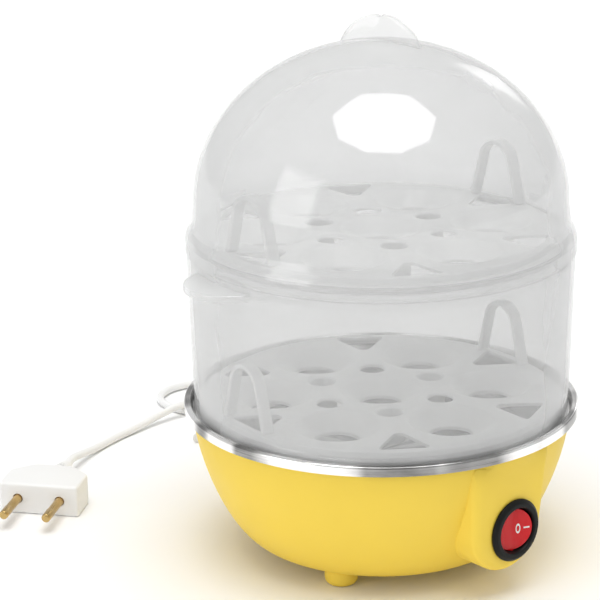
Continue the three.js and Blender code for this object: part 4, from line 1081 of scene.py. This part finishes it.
def tray_handle(word, side, deck):
    """An arched handle over one of the vents at the tray's edge."""
    half, height, top_radius, band, width = 14, 25, 9.6, 1.9, 5
    arch = height - top_radius
    inner = top_radius - band
    face = math.sqrt((DECK_RADIUS - 0.9) ** 2 - half ** 2)
    outline = ([(half, 0.3)] + arc(0, arch, top_radius, 8, 172, 28) + [(-half, 0.3)]
               + [(-half + band + 0.5, 0.3)] + arc(0, arch, inner, 172, 8, 28)
               + [(half - band - 0.5, 0.3)])
    handle = upright(f"{word}_tray_arch_{side}", outline, -face, -face + width)
    softened(handle, 0.45, 50, 3)
    turn = -60 if side == "left" else 120
    moved(handle, shift(0, 0, deck) @ spin(TRAY_TURNS[word] + turn))
    settled(handle, f"{word}_tray", "milky_plastic", [f"{word}_tray_handle_{side}"], 35)


class COOKER_OT_trays(bpy.types.Operator):
    """Both egg trays with their handles"""
    bl_idname = "cooker.trays"
    bl_label = "Egg Trays"

    def execute(self, context):
        for word, deck in (("lower", LOWER_DECK), ("upper", UPPER_DECK)):
            egg_tray(word, deck)
            for side in ("left", "right"):
                tray_handle(word, side, deck)
        return {"FINISHED"}


# ---------------------------------------------------------------- switch
SWITCH_PLACE = spin(BOSS_AZIMUTH) @ shift(0, -BOSS_FACE, BOSS_HEIGHT)
ROCKER_TILT = 12
VALLEY_SLOPE = math.tan(math.radians(9))
VALLEY_SOFTNESS = 0.5  # of the crease in the middle


def valley_height(x):
    """Height of the rocker's face above its pivot, at a distance from the middle."""
    return 1.4 + VALLEY_SLOPE * (math.hypot(x, VALLEY_SOFTNESS) - VALLEY_SOFTNESS)


def rocker_place():
    """The rocker's own frame: X across, Y along the pivot, Z out of the switch."""
    tilt = Matrix.Rotation(math.radians(-ROCKER_TILT), 4, "Y")
    return SWITCH_PLACE @ shift(0, 1.8, 0) @ Matrix.Rotation(math.pi / 2, 4, "X") @ tilt


class COOKER_OT_switch(bpy.types.Operator):
    """Round rocker switch: bezel, rocker and its two marks"""
    bl_idname = "cooker.switch"
    bl_label = "Switch"

    def execute(self, context):
        bezel_radius, body_radius, bore, depth, front = 12.6, 9.8, 9.0, 17, 2.3
        outline = rounded([(0, -depth), (body_radius, -depth, 0.5), (body_radius, 0.3, 0.1),
                           (bezel_radius, 0.3, 0.2), (bezel_radius, 1.1, 0.5),
                           (bezel_radius - 1.3, front, 1.2), (bore + 0.5, front, 0.5),
                           (bore, front - 0.9, 0.4), (bore, -depth + 2), (0, -depth + 2)], False, 5)
        bezel = turned("switch_bezel", outline, 96)
        slots = []
        for x in (-4.6, 0, 4.6):
            slots.append(raised("slot", [(x - 0.7, -2.7), (x + 0.7, -2.7), (x + 0.7, 2.7),
                                         (x - 0.7, 2.7)], -depth - 1, -depth + 5))
        cut(bezel, slots)
        moved(bezel, SWITCH_PLACE @ OUTWARD)
        settled(bezel, "base", "black_plastic", ["switch_body"])
        self.rocker()
        self.marks()
        return {"FINISHED"}

    def rocker(self):
        """A ball cut by a shallow valley, so that it keeps its clearance as it tilts."""
        radius = 8.6
        arcs = arc(0, 0, radius, -90, 90, 48)
        arcs[0] = (0, -radius)
        arcs[-1] = (0, radius)
        ball = turned("rocker_cap", arcs, 96)
        steps = 48
        across = [14 - 28 * k / steps for k in range(steps + 1)]
        valley = [(x, valley_height(x)) for x in across]
        above = upright("above", valley + [(-14, 12), (14, 12)], -14, 14)
        under = raised("under", box_outline(14, -14, 14, 1), -12, -3)
        cut(ball, [above, under])
        stem = raised("stem", box_outline(2, -2.2, 2.2, 0.4), -7.4, -2)
        pins = turned("pins", [(0, -9.0), (1.3, -9.0), (1.3, 9.0), (0, 9.0)], 32)
        joined(ball, [stem, moved(pins, OUTWARD)])
        hollow = turned("hollow", [(0, -8), (1.4, -8), (1.4, -3), (0, -3)], 32)
        cut(ball, [hollow])
        softened(ball, 0.25, 40, 3)
        moved(ball, rocker_place())
        settled(ball, "rocker", "red_plastic", ["switch_rocker"], 30)

    def marks(self):
        """A ring and a bar printed on the raised half."""
        slope = Matrix.Rotation(-math.atan(VALLEY_SLOPE), 4, "Y")
        ring = turned("rocker_marks", [(1.0, 0), (1.0, 0.06), (0.62, 0.06), (0.62, 0)], 40)
        moved(ring, Matrix.Scale(2.05, 4, (0, 1, 0)))
        moved(ring, shift(2.3, 0, valley_height(2.3)) @ slope)
        bar = raised("bar", box_outline(0.3, -1.25, 1.25, 0.12), 0, 0.06)
        moved(bar, shift(5.9, 0, valley_height(5.9)) @ slope @ Matrix.Rotation(math.pi / 2, 4, "Z"))
        joined(ring, [bar])
        moved(ring, rocker_place())
        settled(ring, "rocker", "white_plastic")


# ---------------------------------------------------------------- pieces inside
INNER_FINISHES = {
    "heater_aluminium": ["heat_plate"],
    "inner_steel": ["heating_element", "mounting_spider", "spider_nut", "housing_screw_1",
                    "housing_screw_2", "housing_screw_3", "thermostat_bracket", "thermal_fuse",
                    "fuse_clip", "clamp_screw_left", "clamp_screw_right"],
    "contact_brass": ["thermostat_blade_left", "thermostat_blade_right", "rocker_plunger",
                      "contact_lever", "terminal_common", "terminal_load", "terminal_lamp"],
    "dark_plastic": ["thermostat_body"],
    "fibreglass": ["fuse_sleeve", "fuse_wire", "element_wire"],
    "lamp_glass": ["neon_lamp"],
    "white_plastic": ["inner_lead", "cord_clamp"],
    "wire_brown": ["live_wire", "switched_wire"],
    "wire_blue": ["neutral_wire", "lamp_wire"],
}


class COOKER_OT_inner_pieces(bpy.types.Operator):
    """Finishes of the heater, the wiring and the other pieces inside"""
    bl_idname = "cooker.inner_pieces"
    bl_label = "Inner Pieces"

    def execute(self, context):
        for slot, names in INNER_FINISHES.items():
            for name in names:
                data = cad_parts[name].data
                data.materials.clear()
                data.materials.append(finish(slot))
                data.shade_smooth()
                data.set_sharp_from_angle(angle=math.radians(40))
        return {"FINISHED"}


# ---------------------------------------------------------------- panel and registration
OPERATORS = [COOKER_OT_stage, COOKER_OT_lead, COOKER_OT_strain_relief, COOKER_OT_strap,
             COOKER_OT_plug, COOKER_OT_housing, COOKER_OT_dish, COOKER_OT_drum, COOKER_OT_trays,
             COOKER_OT_lid, COOKER_OT_switch, COOKER_OT_inner_pieces]
SETTINGS = {"cooker_housing": HousingSettings, "cooker_plastic": PlasticSettings,
            "cooker_lead": LeadSettings, "cooker_stage": StageSettings}


class COOKER_PT_panel(bpy.types.Panel):
    """Lists the pieces and the settings they are made from"""
    bl_idname = "COOKER_PT_panel"
    bl_label = "Egg Cooker"
    bl_space_type = "VIEW_3D"
    bl_region_type = "UI"
    bl_category = "Egg Cooker"

    def draw(self, context):
        for name, settings in SETTINGS.items():
            box = self.layout.box()
            for key in settings.__annotations__:
                box.prop(getattr(context.scene, name), key)
        for operator in OPERATORS:
            self.layout.operator(operator.bl_idname)


def register():
    for kind in [*SETTINGS.values(), *OPERATORS, COOKER_PT_panel]:
        bpy.utils.register_class(kind)
    for name, settings in SETTINGS.items():
        setattr(bpy.types.Scene, name, PointerProperty(type=settings))


def unregister():
    for name in SETTINGS:
        delattr(bpy.types.Scene, name)
    for kind in [COOKER_PT_panel, *reversed(OPERATORS), *SETTINGS.values()]:
        bpy.utils.unregister_class(kind)


def main():
    register()
    for operator in OPERATORS:
        group, name = operator.bl_idname.split(".")
        getattr(getattr(bpy.ops, group), name)()
    declare_lead()


if __name__ == "__main__":
    main()
